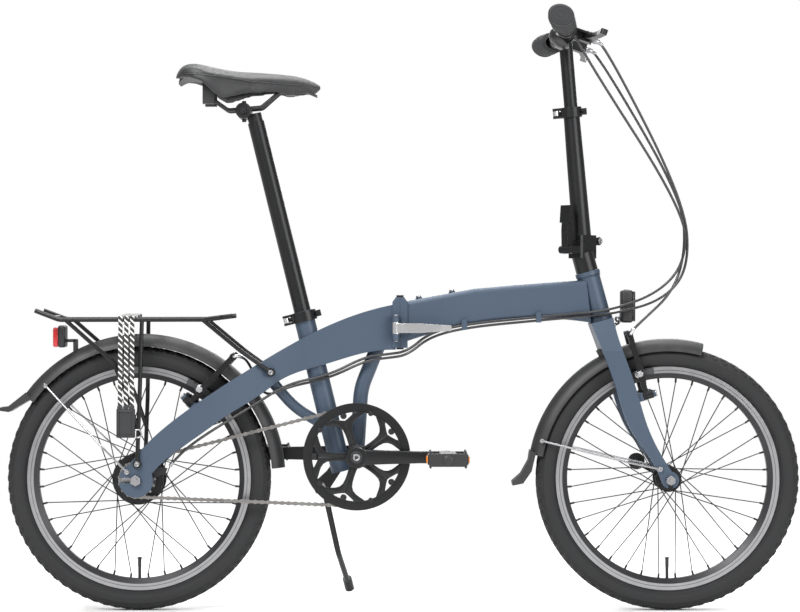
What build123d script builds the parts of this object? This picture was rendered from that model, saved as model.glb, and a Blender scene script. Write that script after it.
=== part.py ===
from build123d import *
from math import asin, atan2, cos, degrees, hypot, radians, sin, tan
import os

os.makedirs("parts", exist_ok=True)

# ---------------------------------------------------------------------------
# Driving dimensions, in millimetres. +X is forward, +Y the rider's left, +Z up.
# The frame hinge is at X = 0 and the tyres stand on Z = 0.
# ---------------------------------------------------------------------------
HINGE_TO_REAR = 494.5        # frame hinge to rear axle
HINGE_TO_FRONT = 507.1       # frame hinge to front axle
TYRE_R = 250.0               # 47-406 tyre, outer radius
TYRE_W = 47.0
RIM_OUT, RIM_IN, RIM_W = 212.0, 190.0, 25.0
SPOKES_SIDE = 18             # spokes on each flange
SPOKE_R = 1.0
FRONT_OLD = 100.0            # width between fork ends
REAR_OLD = 130.0             # width between rear dropouts
AXLE_R = 5.0
BEAM_W = 48.0                # width of the frame's main beam
WALL = 3.0                   # beam wall
SEAT_TUBE_R = 19.5
SEATPOST_R = 16.0
HEAD_R = 21.5                # head tube outer radius
STEERER_R = 15.0
INNER_POST_R = 12.75         # telescopic handlebar post
BAR_R = 11.1
BAR_HALF = 285.0             # half the handlebar width
GRIP_LEN = 123.0
CRANK = 170.0
RING_TEETH, COG_TEETH = 46, 16
PITCH = 12.7
CHAIN_Y = -47.0              # chain line
BOTTLE_PITCH = 64.0          # bottle cage bosses
RUN = 0.05                   # radial clearance of a running fit
GAP = 0.3                    # clearance between faces that slide past each other
CABLE_R = 2.5

# The stations below were laid out on these two lengths; st() moves them when a length changes.
STD_REAR, STD_FRONT = 494.5, 507.1
NEAR_REAR, NEAR_FRONT = 245.0, 257.0


def st(x):
    """Station along the bicycle: stretched near the hinge, kept rigid around each wheel."""
    full, near, want = (STD_REAR, NEAR_REAR, HINGE_TO_REAR)
    if x > 0:
        full, near, want = (STD_FRONT, NEAR_FRONT, HINGE_TO_FRONT)
    if abs(x) < near:
        return x * (want - full + near) / near
    return x + (want - full) * (1 if x > 0 else -1)


def leaning(foot_x, foot_z, lean):
    """Point on a tube that leans back: t along it, off forwards from its axis, y to the left."""
    a = radians(lean)

    def at(t, off=0.0, y=0.0):
        return (foot_x - t * sin(a) + off * cos(a), y, foot_z + t * cos(a) + off * sin(a))

    return at


AXLE_Z = TYRE_R
REAR_X, FRONT_X = -HINGE_TO_REAR, HINGE_TO_FRONT
SEAT_LEAN, HEAD_LEAN, POST_LEAN = 13.8, 15.36, 4.8
seat = leaning(st(-118.2), 293.5, SEAT_LEAN)
head = leaning(st(381.0), 549.0, HEAD_LEAN)
post = leaning(st(346.0), 700.0, POST_LEAN)
SEAT_TOP = 281.0             # seat tube top, along the tube
POST_TOP = 651.0             # seatpost top
POST_LEN = 560.0
HEAD_LOW, HEAD_HIGH = 8.0, 88.0
BASE_TOP = 700.0             # split between the handlepost and its base
BB_X, BB_Z = st(-81.3), 293.4
PIN_Y = 38.0                 # frame hinge pin, to the left of the beam
PLATE = 14.4                 # hinge plate thickness
HINGE_LOW, HINGE_HIGH = 497.6, 593.4
HP_PIN = 30.0                # handlepost hinge pin from the post's axis
BRAKE_Y = 40.0               # brake pivots from the centre plane
PAD_GAP = 2.0
ARM_Y0, ARM_Y1 = 60.0, 75.0  # crank arms
PEDAL_Y0, PEDAL_Y1 = 80.0, 165.0
KICK_X, KICK_Y, KICK_Z = st(-150.0), 40.0, 233.0
CLAMP_H = 19.0               # quick-release collars

HP = Plane(origin=(st(346.0), 0, BASE_TOP), x_dir=(1, 1, 0), z_dir=(0, 0, 1))


# ------------------------------- small helpers ------------------------------
def rod(p, q, r):
    p, q = Vector(*p), Vector(*q)
    return Solid.make_cylinder(r, (q - p).length, Plane(origin=p, z_dir=q - p))


def cone(p, q, r1, r2):
    p, q = Vector(*p), Vector(*q)
    return Solid.make_cone(r1, r2, (q - p).length, Plane(origin=p, z_dir=q - p))


def ybar(x, z, r, y0, y1):
    return rod((x, y0, z), (x, y1, z), r)


def ytube(x, z, r, hole, y0, y1):
    return ybar(x, z, r, y0, y1) - ybar(x, z, hole, y0 - 1, y1 + 1)


def box(x0, x1, y0, y1, z0, z1):
    return Pos((x0 + x1) / 2, (y0 + y1) / 2, (z0 + z1) / 2) * Box(x1 - x0, y1 - y0, z1 - z0)


def join(*shapes):
    return Part() + list(shapes)


def loop(points):
    """Straight sides of a closed polygon."""
    return [[a, b] for a, b in zip(points, points[1:] + points[:1])]


def outline(plane, runs):
    """Face on a plane; a run of two points is straight, a longer one is a smooth curve."""
    edges = []
    for run in runs:
        pts = [plane.from_local_coords((u, v, 0)) for u, v in run]
        edges.append(Edge.make_line(*pts) if len(pts) == 2 else Edge.make_spline(pts))
    return Face(Wire(edges))


def side(runs, y0, y1):
    """Side view outline in (x, z), carried across from y0 to y1."""
    plane = Plane(origin=(0, y0, 0), x_dir=(1, 0, 0), z_dir=(0, -1, 0))
    runs = [[(st(x), z) for x, z in run] for run in runs]
    return Solid.extrude(outline(plane, runs), Vector(0, y1 - y0, 0))


def plan(runs, z0, z1):
    """Top view outline in (x, y), carried up from z0 to z1."""
    runs = [[(st(x), y) for x, y in run] for run in runs]
    return Solid.extrude(outline(Plane(origin=(0, 0, z0)), runs), Vector(0, 0, z1 - z0))


def slab(plane, points, z0, z1):
    """Polygon on a local plane, between two heights above it."""
    base = Plane(origin=plane.from_local_coords((0, 0, z0)), x_dir=plane.x_dir, z_dir=plane.z_dir)
    return Solid.extrude(outline(base, loop(points)), plane.z_dir * (z1 - z0))


def local_rod(plane, p, q, r):
    return rod(tuple(plane.from_local_coords(p)), tuple(plane.from_local_coords(q)), r)


def bent(points, r, bend=20.0, hole=0.0):
    """Round bar or tube along straight runs joined by arcs."""
    path = FilletPolyline(*[Vector(*p) for p in points], radius=bend)
    ring = Circle(r) - Circle(hole) if hole else Circle(r)
    return sweep(Plane(origin=path @ 0, z_dir=path % 0) * ring, path=path)


def bends(points, most):
    """Largest bend at each corner that still leaves a straight run between corners."""
    pts, out = [Vector(*p) for p in points], []
    for a, b, c in zip(pts, pts[1:], pts[2:]):
        half = radians((b - a).get_angle(c - b)) / 2
        out.append(min(most, 0.45 * min((b - a).length, (c - b).length) / tan(half)))
    return out


def both(shape):
    return [shape, mirror(shape, about=Plane.XZ)]


def softened(shape, radius, shortest):
    """Round the long edges that a hand would touch."""
    edges = shape.edges().filter_by(lambda e: e.length > shortest)
    return fillet(edges, radius)


def polar(cx, r, angle):
    """Point on a circle about an axle, angle in degrees up from forwards."""
    return (cx + r * cos(radians(angle)), AXLE_Z + r * sin(radians(angle)))


def wheel_place(x):
    """Local z becomes +Y, on the axle at x."""
    return Location((x, 0, AXLE_Z), (-90, 0, 0))


def turned(runs, angle=360.0, start=0.0):
    """Section in (radius, height) turned about local z."""
    plane = Plane(origin=(0, 0, 0), x_dir=(1, 0, 0), z_dir=(0, -1, 0))
    face = outline(plane, runs).rotate(Axis.Z, start)
    return Solid.revolve(face, angle, Axis.Z)


# ---------------------------------- wheels ----------------------------------
def tyre():
    w, h, r, bead = TYRE_W / 2, TYRE_R - RIM_OUT, RIM_OUT, RIM_W / 2 - 1.9
    low = r - 11.0
    outer = [(r + 1, bead), (r + 0.13 * h, 0.83 * w), (r + 0.45 * h, w), (r + 0.78 * h, 0.8 * w),
             (r + 0.95 * h, 0.42 * w), (TYRE_R, 0)]
    inner = [(r + 2, bead - 3), (r + 0.24 * h, 0.68 * w), (r + 0.46 * h, 0.83 * w),
             (r + 0.7 * h, 0.66 * w), (r + 0.82 * h, 0.34 * w), (TYRE_R - 5, 0)]
    outer += [(a, -b) for a, b in outer[-2::-1]]
    inner += [(a, -b) for a, b in inner[-2::-1]]
    runs = [outer, [outer[-1], (low, -bead)], [(low, -bead), (low, 3 - bead)],
            [(low, 3 - bead), inner[-1]], inner[::-1], [inner[0], (low, bead - 3)],
            [(low, bead - 3), (low, bead)], [(low, bead), outer[0]]]
    return turned(runs)


def rim():
    w, bed = RIM_W / 2, RIM_OUT - 11.0
    pts = [(RIM_OUT, w), (RIM_OUT, w - 1.9), (bed, w - 1.9), (bed, 1.9 - w), (RIM_OUT, 1.9 - w),
           (RIM_OUT, -w), (bed - 2, -w), (RIM_IN, -w / 2), (RIM_IN, w / 2), (bed - 2, w)]
    return turned(loop(pts))


def spokes(flange_r, flange_h):
    """Crossed three, heads through the flanges, nipples on the rim, and the valve stem."""
    parts = []
    for sign in (1, -1):
        for i in range(SPOKES_SIDE):
            lead = 1 if i % 2 else -1
            hub_a = radians(i * 360 / SPOKES_SIDE + (5 if sign > 0 else -5))
            rim_a = hub_a + lead * radians(60)
            # Outward spokes start further out, because they slope back over the flange.
            off = 1.1 + SPOKE_R + (1.5 if lead > 0 else 0.1)
            a = (flange_r * cos(hub_a), flange_r * sin(hub_a), sign * (flange_h + lead * off))
            b = ((RIM_IN - 8) * cos(rim_a), (RIM_IN - 8) * sin(rim_a), sign * (3 + lead * 1.2))
            c = (RIM_IN * cos(rim_a), RIM_IN * sin(rim_a), b[2])
            back = (a[0], a[1], sign * (flange_h - lead * 2.4))
            wire = rod(a, b, SPOKE_R) + Pos(*a) * Sphere(SPOKE_R) + rod(back, a, SPOKE_R)
            tip = (a[0], a[1], sign * (flange_h - lead * 1.1))
            parts += [join(wire, rod(back, tip, 1.9)), rod(b, c, 2.0)]
    parts.append(rod((0, RIM_IN - 40, 0), (0, RIM_IN, 0), 3.0))
    return Compound(children=parts)


def hub(points, flange_r, flange_h):
    body = turned(loop(points))
    holes = []
    for sign in (1, -1):
        for i in range(SPOKES_SIDE):
            a = radians(i * 360 / SPOKES_SIDE + (5 if sign > 0 else -5))
            x, y, z = flange_r * cos(a), flange_r * sin(a), sign * flange_h
            holes.append(rod((x, y, z - 2), (x, y, z + 2), SPOKE_R + 0.2))
    return body - holes


def front_hub():
    w, b = FRONT_OLD / 2 - 2.3, AXLE_R + RUN
    half = [(b, w), (9, w), (9, 36), (13, 33), (14, 29.1), (24.6, 29.1), (24.6, 26.9), (14, 26.9), (12, 20)]
    return hub(half + [(r, -h) for r, h in half[::-1]], 22.0, 28.0)


def rear_hub():
    b = AXLE_R + RUN
    left = [(b, 57), (14, 57), (22, 50), (30, 34), (38, 29.1), (48.6, 29.1), (48.6, 26.9), (40, 26.9), (36, 20)]
    right = [(36, -20), (40, -26.9), (48.6, -26.9), (48.6, -29.1), (34, -29.1), (24, -34), (18, -41), (b, -41)]
    return hub(left + right, 46.0, 28.0)


def front_axle():
    """Hollow axle with locknuts, skewer, nut and the cam eye for the lever."""
    x, w = FRONT_X, FRONT_OLD / 2
    parts = [ybar(x, AXLE_Z, AXLE_R, -w, w), ybar(x, AXLE_Z, 4.5, -w - 14, w + 14),
             ybar(x, AXLE_Z, 2.5, -w - 26, w + 26), ybar(x, AXLE_Z, 8.5, w - 2, w),
             ybar(x, AXLE_Z, 8.5, -w, 2 - w), ybar(x, AXLE_Z, 8.0, -w - 26, -w - 16),
             ybar(x, AXLE_Z, 9.0, w + 16, w + 19), ybar(x, AXLE_Z, 3.8, w + 19, w + 26)]
    c = HUB_CAM
    parts += [local_rod(c, (0, 0, -9), (0, 0, 9), 3.0), local_rod(c, (0, 0, -3.6), (0, 0, 3.6), 5.5)]
    return join(*parts)


# Cam axis of the front quick release: x towards the lever's paddle, z along the cam pin.
HUB_CAM = Plane(origin=(FRONT_X, FRONT_OLD / 2 + 27, AXLE_Z), x_dir=(-0.88, 0, 0.475), z_dir=(-0.475, 0, -0.88))


def front_hub_lever():
    c = HUB_CAM
    ears = [local_rod(c, (0, 0, s * 4.0), (0, 0, s * 9.0), 7.0) for s in (1, -1)]
    web = slab(c, [(5.0, -3), (5.0, 4), (14, 4), (14, -3)], -9, 9) - local_rod(c, (0, 0, -4), (0, 0, 4), 7.4)
    arm = slab(c, [(12, -3), (12, 4), (56, 2), (56, -3)], -6, 6)
    # The paddle is a round plate at the arm's end.
    paddle = rod(tuple(c.from_local_coords((58, -3, 0))), tuple(c.from_local_coords((58, 3, 0))), 16.0)
    return join(*ears, web, arm, paddle) - local_rod(c, (0, 0, -12), (0, 0, 12), 3.0 + RUN)


def rear_axle():
    """Axle, spacers, outer nuts and the gear cable's joint; the left end stands clear."""
    x, w = REAR_X, REAR_OLD / 2
    parts = [ybar(x, AXLE_Z, AXLE_R, -w - 15, w + 25), ybar(x, AXLE_Z, 9.0, -w, CHAIN_Y - 6.3),
             ybar(x, AXLE_Z, 9.0, 57.3, w), ybar(x, AXLE_Z, 9.5, w + 7, w + 16),
             ybar(x, AXLE_Z, 9.5, -w - 16, -w - 7)]
    parts += [side(loop([(-500, 240), (-440, 262), (-436, 272), (-446, 275), (-500, 262)]), -61, -57)]
    return join(*parts)


# -------------------------------- drivetrain --------------------------------
def pitch_r(teeth):
    return PITCH / (2 * sin(radians(180 / teeth)))


RING_R, COG_R = pitch_r(RING_TEETH), pitch_r(COG_TEETH)
CHAIN_D = hypot(BB_X - REAR_X, BB_Z - AXLE_Z)
CHAIN_DIR = degrees(atan2(BB_Z - AXLE_Z, BB_X - REAR_X))
CHAIN_TILT = degrees(asin((RING_R - COG_R) / CHAIN_D))
TOP_ANGLE = CHAIN_DIR + 90 + CHAIN_TILT      # direction to the upper tangent points
LOW_ANGLE = CHAIN_DIR - 90 - CHAIN_TILT


def around(cx, cz, r, angle):
    return (cx + r * cos(radians(angle)), cz + r * sin(radians(angle)))


def toothed(x, z, teeth, r, y0, y1, bore):
    """Toothed disc whose gaps line up with the chain's upper tangent point."""
    gaps = [Location(around(0, 0, r + 2.5, TOP_ANGLE + k * 360 / teeth)) * Circle(4.85) for k in range(teeth)]
    disc = Circle(r + 2.6) - gaps - Circle(bore)
    plane = Plane(origin=(x, y0, z), x_dir=(1, 0, 0), z_dir=(0, -1, 0))
    return plane * extrude(disc, y0 - y1)


def sprocket():
    disc = toothed(REAR_X, AXLE_Z, COG_TEETH, COG_R, CHAIN_Y + 1.5, CHAIN_Y - 1.5, 12.0)
    boss = ytube(REAR_X, AXLE_Z, 14.0, AXLE_R + RUN, CHAIN_Y - 6, CHAIN_Y + 5.7)
    return join(disc, boss)


def chainring():
    """Ring, outer guard and the five spacers with bolt heads that hold them together."""
    ring = toothed(BB_X, BB_Z, RING_TEETH, RING_R, CHAIN_Y + 1.5, CHAIN_Y - 1.5, 84.0)
    guard = ytube(BB_X, BB_Z, 101.0, 84.0, CHAIN_Y - 7, CHAIN_Y - 3.9)
    parts = [ring, guard]
    for k in range(5):
        a = 36 + 72 * k
        x, z = around(BB_X, BB_Z, 85.5, a + 36)
        parts += [ybar(x, z, 3.0, CHAIN_Y - 3.9, CHAIN_Y - 1.5), ybar(x, z, 4.0, CHAIN_Y - 8.5, CHAIN_Y - 7)]
        x, z = around(BB_X, BB_Z, 80.5, a)
        parts.append(ybar(x, z, 6.0, CHAIN_Y - 7, CHAIN_Y - 3.9))
    return join(*parts)


def band(grow, y0, y1):
    """Loop that wraps both toothed wheels at the pitch line, moved out by grow."""
    a, b = RING_R + grow, COG_R + grow
    p1, p2 = around(BB_X, BB_Z, a, TOP_ANGLE), around(BB_X, BB_Z, a, LOW_ANGLE)
    q1, q2 = around(REAR_X, AXLE_Z, b, TOP_ANGLE), around(REAR_X, AXLE_Z, b, LOW_ANGLE)
    m, n = around(BB_X, BB_Z, a, CHAIN_DIR), around(REAR_X, AXLE_Z, b, CHAIN_DIR + 180)
    pts = [Vector(p[0], y0, p[1]) for p in (p1, m, p2, q2, n, q1)]
    wire = Wire([Edge.make_three_point_arc(*pts[:3]), Edge.make_line(pts[2], pts[3]),
                 Edge.make_three_point_arc(*pts[3:]), Edge.make_line(pts[5], pts[0])])
    return Solid.extrude(Face(wire), Vector(0, y1 - y0, 0))


def chain():
    """Two rows of plates and a roller at every pitch."""
    parts = []
    for y0, y1 in ((CHAIN_Y - 3.4, CHAIN_Y - 1.8), (CHAIN_Y + 1.8, CHAIN_Y + 3.4)):
        parts.append(band(4.0, y0, y1) - band(-4.0, y0, y1))
    pins = [around(BB_X, BB_Z, RING_R, TOP_ANGLE - k * 360 / RING_TEETH) for k in range(26)]
    pins += [around(REAR_X, AXLE_Z, COG_R, TOP_ANGLE + k * 360 / COG_TEETH) for k in range(8)]
    run = CHAIN_D * cos(radians(CHAIN_TILT))
    # What is left of each wrap after its last roller, so the lower run keeps the pitch.
    ring_rest = radians(180 + 2 * CHAIN_TILT - 25 * 360 / RING_TEETH) * RING_R
    cog_rest = radians(180 - 2 * CHAIN_TILT - 7 * 360 / COG_TEETH) * COG_R
    for angle, lead, tail in ((TOP_ANGLE, PITCH, PITCH), (LOW_ANGLE, PITCH - ring_rest, PITCH - cog_rest)):
        a, b = around(BB_X, BB_Z, RING_R, angle), around(REAR_X, AXLE_Z, COG_R, angle)
        n = round((run - lead - tail) / PITCH)
        for k in range(n + 1):
            f = (lead + (run - lead - tail) * k / n) / run
            pins.append((a[0] + (b[0] - a[0]) * f, a[1] + (b[1] - a[1]) * f))
    parts += [ybar(x, z, 2.2, CHAIN_Y - 1.8, CHAIN_Y + 1.8) for x, z in pins]
    return Compound(children=parts)


def bottom_bracket():
    return join(ytube(BB_X, BB_Z, 17.0, 9.0 + RUN, -37, 37), ytube(BB_X, BB_Z, 20.0, 9.0 + RUN, 34, 37),
                ytube(BB_X, BB_Z, 20.0, 9.0 + RUN, -37, -34))


def crank_arm(reach, s):
    """Arm from the spindle to the pedal axle; reach is signed along X, s is the side."""
    x1 = BB_X + reach
    y0, y1 = s * ARM_Y0, s * ARM_Y1
    pts = [(BB_X, BB_Z - 15), (x1, BB_Z - 11), (x1, BB_Z + 11), (BB_X, BB_Z + 15)]
    plane = Plane(origin=(0, y0, 0), x_dir=(1, 0, 0), z_dir=(0, -1, 0))
    arm = Solid.extrude(outline(plane, loop(pts)), Vector(0, y1 - y0, 0))
    axle = ybar(x1, BB_Z, 6.0, y1, s * (PEDAL_Y0 + 79)) + ybar(x1, BB_Z, 8.0, y1, s * (PEDAL_Y0 - 1.5))
    return join(arm, ybar(BB_X, BB_Z, 18.0, y0, y1), ybar(x1, BB_Z, 13.0, y0, y1), axle)


def right_crank():
    """Arm with the five-armed spider that carries the chainring."""
    inner = CHAIN_Y - 7
    parts = [crank_arm(CRANK, -1), ybar(BB_X, BB_Z, 22.0, -ARM_Y0, inner)]
    for k in range(5):
        a = 36 + 72 * k
        tip = around(BB_X, BB_Z, 80.5, a)
        pts = [around(BB_X, BB_Z, 18.0, a - 40), around(*tip, 6.5, a - 90), around(*tip, 6.5, a + 90),
               around(BB_X, BB_Z, 18.0, a + 40)]
        plane = Plane(origin=(0, inner, 0), x_dir=(1, 0, 0), z_dir=(0, -1, 0))
        parts.append(Solid.extrude(outline(plane, loop(pts)), Vector(0, -4.5, 0)))
        parts.append(ybar(*tip, 6.5, inner - 4.5, inner))
    return join(*parts) - ybar(BB_X, BB_Z, 9.0, -58, -40)


def left_crank():
    return join(crank_arm(-CRANK, 1), ybar(BB_X, BB_Z, 9.0, -58, ARM_Y0), ytube(BB_X, BB_Z, 14.0, 8, 40, ARM_Y0))


def pedal(x, s):
    """Two-sided platform cage round a barrel, with a reflector at each end."""
    y0, y1 = PEDAL_Y0, PEDAL_Y1
    body = box(x - 35, x + 35, y0, y1, BB_Z - 12, BB_Z + 12)
    for lo, hi in ((x - 30, x - 15), (x + 15, x + 30)):
        body = body - box(lo, hi, y0 + 8, y1 - 8, BB_Z - 20, BB_Z + 20)
    plates = [box(a, a + 2.5, y0 + 14, y1 - 14, BB_Z - 9, BB_Z + 9) for a in (x + 35, x - 37.5)]
    body = join(body, *plates) - ybar(x, BB_Z, 6.0 + RUN, y0 - 1, y0 + 80)
    return body if s > 0 else mirror(body, about=Plane.XZ)


# ----------------------------------- frame ----------------------------------
def boss_plane(x, z, up):
    """Brake boss: local x up the arm, z along the boss, away from the frame."""
    ux, uz = up
    n = (uz, 0, -ux)
    return Plane(origin=(x, 0, z), x_dir=(ux, 0, uz), z_dir=n)


FRONT_BOSS = boss_plane(st(463.0), 408.0, (-0.256, 0.967))
REAR_BOSS = boss_plane(st(-395.0), 394.0, (0.683, 0.731))
REAR_BOSS = Plane(origin=REAR_BOSS.origin, x_dir=REAR_BOSS.x_dir, z_dir=-REAR_BOSS.z_dir)


def brake_boss(plane, reach):
    """Studs for a pair of brake arms, on blocks that run out to the blades or stays."""
    parts = []
    for s in (1, -1):
        y = s * BRAKE_Y
        lo, hi = sorted((s * 34.0, s * reach))
        parts += [slab(plane, [(-8, lo), (8, lo), (8, hi), (-8, hi)], -20, -6.4),
                  local_rod(plane, (0, y, -8), (0, y, 17.0), 4.0),
                  local_rod(plane, (0, y, 14.4), (0, y, 18.5), 6.5)]
    return parts


def knuckle(z0, z1, s):
    """Eye round the frame hinge pin with its web; s is +1 for the front plate, -1 for the rear."""
    x0, x1 = sorted((s * 0.15, s * 9.0))
    return join(rod((0, PIN_Y, z0), (0, PIN_Y, z1), 9.0) & box(-9, 9, PIN_Y - 12, PIN_Y + 12, z0, z1),
                box(x0, x1, 26, PIN_Y, z0, z1))


HINGE_Z = [HINGE_LOW, HINGE_LOW + 31, HINGE_HIGH - 31, HINGE_HIGH]


def hinge_half(s):
    """Plate of one half, its edge clear of the other half's knuckles."""
    x0, x1, x2 = s * 0.15, s * PLATE, s * 7.5
    plate = side_plain([(x0, HINGE_LOW), (x1, HINGE_LOW), (x1, HINGE_HIGH - 9), (x2, HINGE_HIGH), (x0, HINGE_HIGH)],
                       -28, 28)
    z = HINGE_Z
    if s > 0:
        return [plate, knuckle(z[1] + GAP, z[2] - GAP, 1)]
    return [plate, knuckle(z[0], z[1], -1), knuckle(z[2], z[3], -1)]


def side_plain(points, y0, y1):
    """Side outline whose stations do not stretch with the frame."""
    plane = Plane(origin=(0, y0, 0), x_dir=(1, 0, 0), z_dir=(0, -1, 0))
    return Solid.extrude(outline(plane, loop(points)), Vector(0, y1 - y0, 0))


def rear_beam(inset):
    """Box beam that divides into two stays; the inset copy is the hollow inside the box."""
    top = [(-8, 580 - inset), (-150, 533 - inset), (-247, 480 - inset)]
    low = [(-225, 437 + inset), (-140, 467 + inset), (-63, 489 + inset), (-8, 494 + inset)]
    if inset:
        a, b = (-PLATE - 3, 577 - inset), (-PLATE - 3, 492 + inset)
        c, d = (-212, 501 - inset), (-212, 442 + inset)
        shape = side([[a, (-150, 533 - inset), c], [c, d], [d, (-140, 467 + inset), b], [b, a]], -40, 40)
        half = BEAM_W / 2 + 1 - inset
        return shape & box(st(-240), 0, -half, half, 400, 600)
    top += [(-376, 397), (-483, 309), (-512, 272)]
    low = [(-468, 258), (-443, 285), (-379, 333), (-325, 371), (-264, 409)] + low
    shape = side([top, [top[-1], low[0]], low, [low[-1], top[0]]], -90, 90)
    h = BEAM_W / 2 + 1
    out = [(-8, h), (-150, h), (-205, h + 2.5), (-250, 40), (-300, 57), (-390, 78)]
    ins = [(-390, 65), (-340, 54), (-295, 40), (-262, 20.5), (-247, 0)]
    ins = ins + [(x, -y) for x, y in ins[-2::-1]]
    tip = REAR_OLD / 2
    runs = [out, [out[-1], (-450, tip + 7)], [(-450, tip + 7), (-520, tip + 7)], [(-520, tip + 7), (-520, tip)],
            [(-520, tip), ins[0]], ins, [ins[-1], (-520, -tip)], [(-520, -tip), (-520, -tip - 7)],
            [(-520, -tip - 7), (-450, -tip - 7)], [(-450, -tip - 7), (-390, -78)],
            [(x, -y) for x, y in out[::-1]], [(-8, -h), (-8, h)]]
    return shape & plan(runs, 200, 700)


def rear_frame():
    parts = [rear_beam(0.0), *hinge_half(-1)]
    parts.append(rod(seat(-31.4), seat(SEAT_TOP), SEAT_TUBE_R))
    parts.append(ybar(BB_X, BB_Z, 20.0, -34, 34))
    parts.append(bent([(st(-40), 0, 505), (st(-74), 0, 420), (BB_X, 0, 300)], 14.0, 120))
    parts.append(bent([(st(-242), 0, 432), (st(-200), 0, 384), (st(-145), 0, 351)], 10.5, 150))
    for s in (1, -1):
        y0, y1 = s * REAR_OLD / 2, s * (REAR_OLD / 2 + 7)
        parts.append(ybar(REAR_X, AXLE_Z, 32.0, y0, y1))
        parts.append(ybar(st(-243), 452, 9.0, s * 26, s * 45))
    parts += brake_boss(REAR_BOSS, 69.0)
    (x, z), (x1, z1) = polar(REAR_X, 289.0, 35.8), polar(REAR_X, 304.0, 35.8)
    parts.append(rod((x, 0, z), (x1, 0, z1), 6.0))
    # Latch ears on the hinge's right side.
    for z0, z1 in ((512.0, 523.7), (546.3, 558.0)):
        parts.append(join(box(-PLATE, -1.5, -44, -26, z0, z1), rod((-8, -46, z0), (-8, -46, z1), 7.0)))
    parts.append(rod((-8, -46, 512), (-8, -46, 558), 3.0))
    parts.append(kick_bracket())
    body = join(*parts)
    cuts = [rod(seat(-60), seat(SEAT_TOP + 9), SEATPOST_R + RUN), ybar(BB_X, BB_Z, 17.0, -40, 40),
            rod((0, PIN_Y, HINGE_LOW - 9), (0, PIN_Y, HINGE_HIGH + 9), 4.0 + RUN),
            rear_beam(WALL) - rod(seat(0), seat(300), SEAT_TUBE_R) - box(st(-60), 0, -14, 14, 400, 497),
            rod((st(-105), 12, 462), (st(-105), 12, 500), 4.0)]
    for s in (1, -1):
        y0, y1 = sorted((s * (REAR_OLD / 2 - 1), s * (REAR_OLD / 2 + 8)))
        cuts.append(box(REAR_X - 40, REAR_X, y0, y1, AXLE_Z - AXLE_R, AXLE_Z + AXLE_R))
        cuts.append(ybar(REAR_X, AXLE_Z, AXLE_R, y0, y1))
    return body - cuts


def kick_bracket():
    """Plate below the bottom bracket with the stand's stud and bolt head."""
    pts = [(-92, 292), (-112, 262), (-140, 219), (-160, 219), (-168, 236), (-140, 262), (-112, 300)]
    plate = side(loop(pts), 20, 30)
    return join(plate, ybar(KICK_X, KICK_Z, 5.0, 29, KICK_Y + 10), ybar(KICK_X, KICK_Z, 8.5, KICK_Y + 7.4, KICK_Y + 11))


def kickstand():
    """Leg that swings back and up; it flares out only below the crank's sweep."""
    x, y, z = KICK_X, KICK_Y, KICK_Z
    eye = ybar(x, z, 12.0, y - 7, y + 7)
    leg = bent([(x, y, z), (x + 8, y + 3, z - 22), (x + 31, y + 10, z - 128), (x + 50, 126, 34)], 5.5, 30)
    foot = rod((x + 47, 118, 47), (x + 52, 132, 25), 9.0)
    return join(eye, leg, foot) - ybar(x, z, 5.0 + RUN, y - 30, y + 30)


def front_beam(inset):
    i = inset
    top = [(140, 609.3 - i), (266, 620 - i), (352, 626 - i)]
    low = [(362, 545 + i), (266, 552.5 + i), (128, 539.5 + i), (57, 523.5 + i), (8, 508 + i)]
    if inset:
        top = [(140, 609.3 - i), (240, 618 - i), (334, 625 - i)]
        low = [(334, 548 + i), (266, 552.5 + i), (128, 539.5 + i), (57, 523.5 + i), (18, 511.5 + i)]
        start = (18, 587 - i)
    else:
        start = (8, 585.1)
    runs = [[start, top[0]], top, [top[-1], low[0]], low, [low[-1], start]]
    h = BEAM_W / 2 - i
    return side(runs, -h, h)


BOSS_TILT = degrees(atan2(24.2, st(140) - st(8)))
BOSS_MID = (st(67.4), 0, 585.1 + 24.2 * (st(67.4) - st(8)) / (st(140) - st(8)))
BOSS = Plane(origin=BOSS_MID, x_dir=(cos(radians(BOSS_TILT)), 0, sin(radians(BOSS_TILT))),
             z_dir=(-sin(radians(BOSS_TILT)), 0, cos(radians(BOSS_TILT))))


def front_frame():
    beam = softened(front_beam(0.0), 9.0, 90)
    parts = [beam, rod(head(HEAD_LOW), head(HEAD_HIGH), HEAD_R), *hinge_half(1)]
    cuts = [front_beam(WALL) - rod(head(0), head(100), HEAD_R), rod(head(-9), head(110), 17.5),
            rod(head(-5), head(HEAD_LOW), 24.0), rod(head(HEAD_HIGH), head(110), 24.0),
            rod((st(325), 0, 592), head(45), 7.0), rod((0, PIN_Y, HINGE_LOW), (0, PIN_Y, HINGE_HIGH), 4.0)]
    for s in (1, -1):
        u = s * BOTTLE_PITCH / 2
        parts.append(local_rod(BOSS, (u, 0, -2.5), (u, 0, 3), 6.0))
        cuts.append(local_rod(BOSS, (u, 0, -9), (u, 0, 9), 2.5))
    parts.append(side_plain([(0.15, 522), (PLATE, 522), (PLATE - 3, 548), (0.15, 548)], -37, -26))
    for x, z in ((122, 539.0), (262, 552.5)):
        parts.append(box(st(x) - 5, st(x) + 5, -32, -20, z - 7, z + 12))
    for line in (REAR_BRAKE_ROUTE, SHIFT_ROUTE):
        cuts += [rod(a, b, CABLE_R + 0.6) for a, b in zip(line[6:9], line[7:10])]
    return join(*parts) - cuts


def hinge_pin():
    return join(rod((0, PIN_Y, HINGE_LOW - 1), (0, PIN_Y, HINGE_HIGH + 1), 4.0),
                rod((0, PIN_Y, HINGE_HIGH + GAP), (0, PIN_Y, HINGE_HIGH + 4), 7.0),
                rod((0, PIN_Y, HINGE_LOW - 4), (0, PIN_Y, HINGE_LOW - GAP), 7.0))


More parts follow.
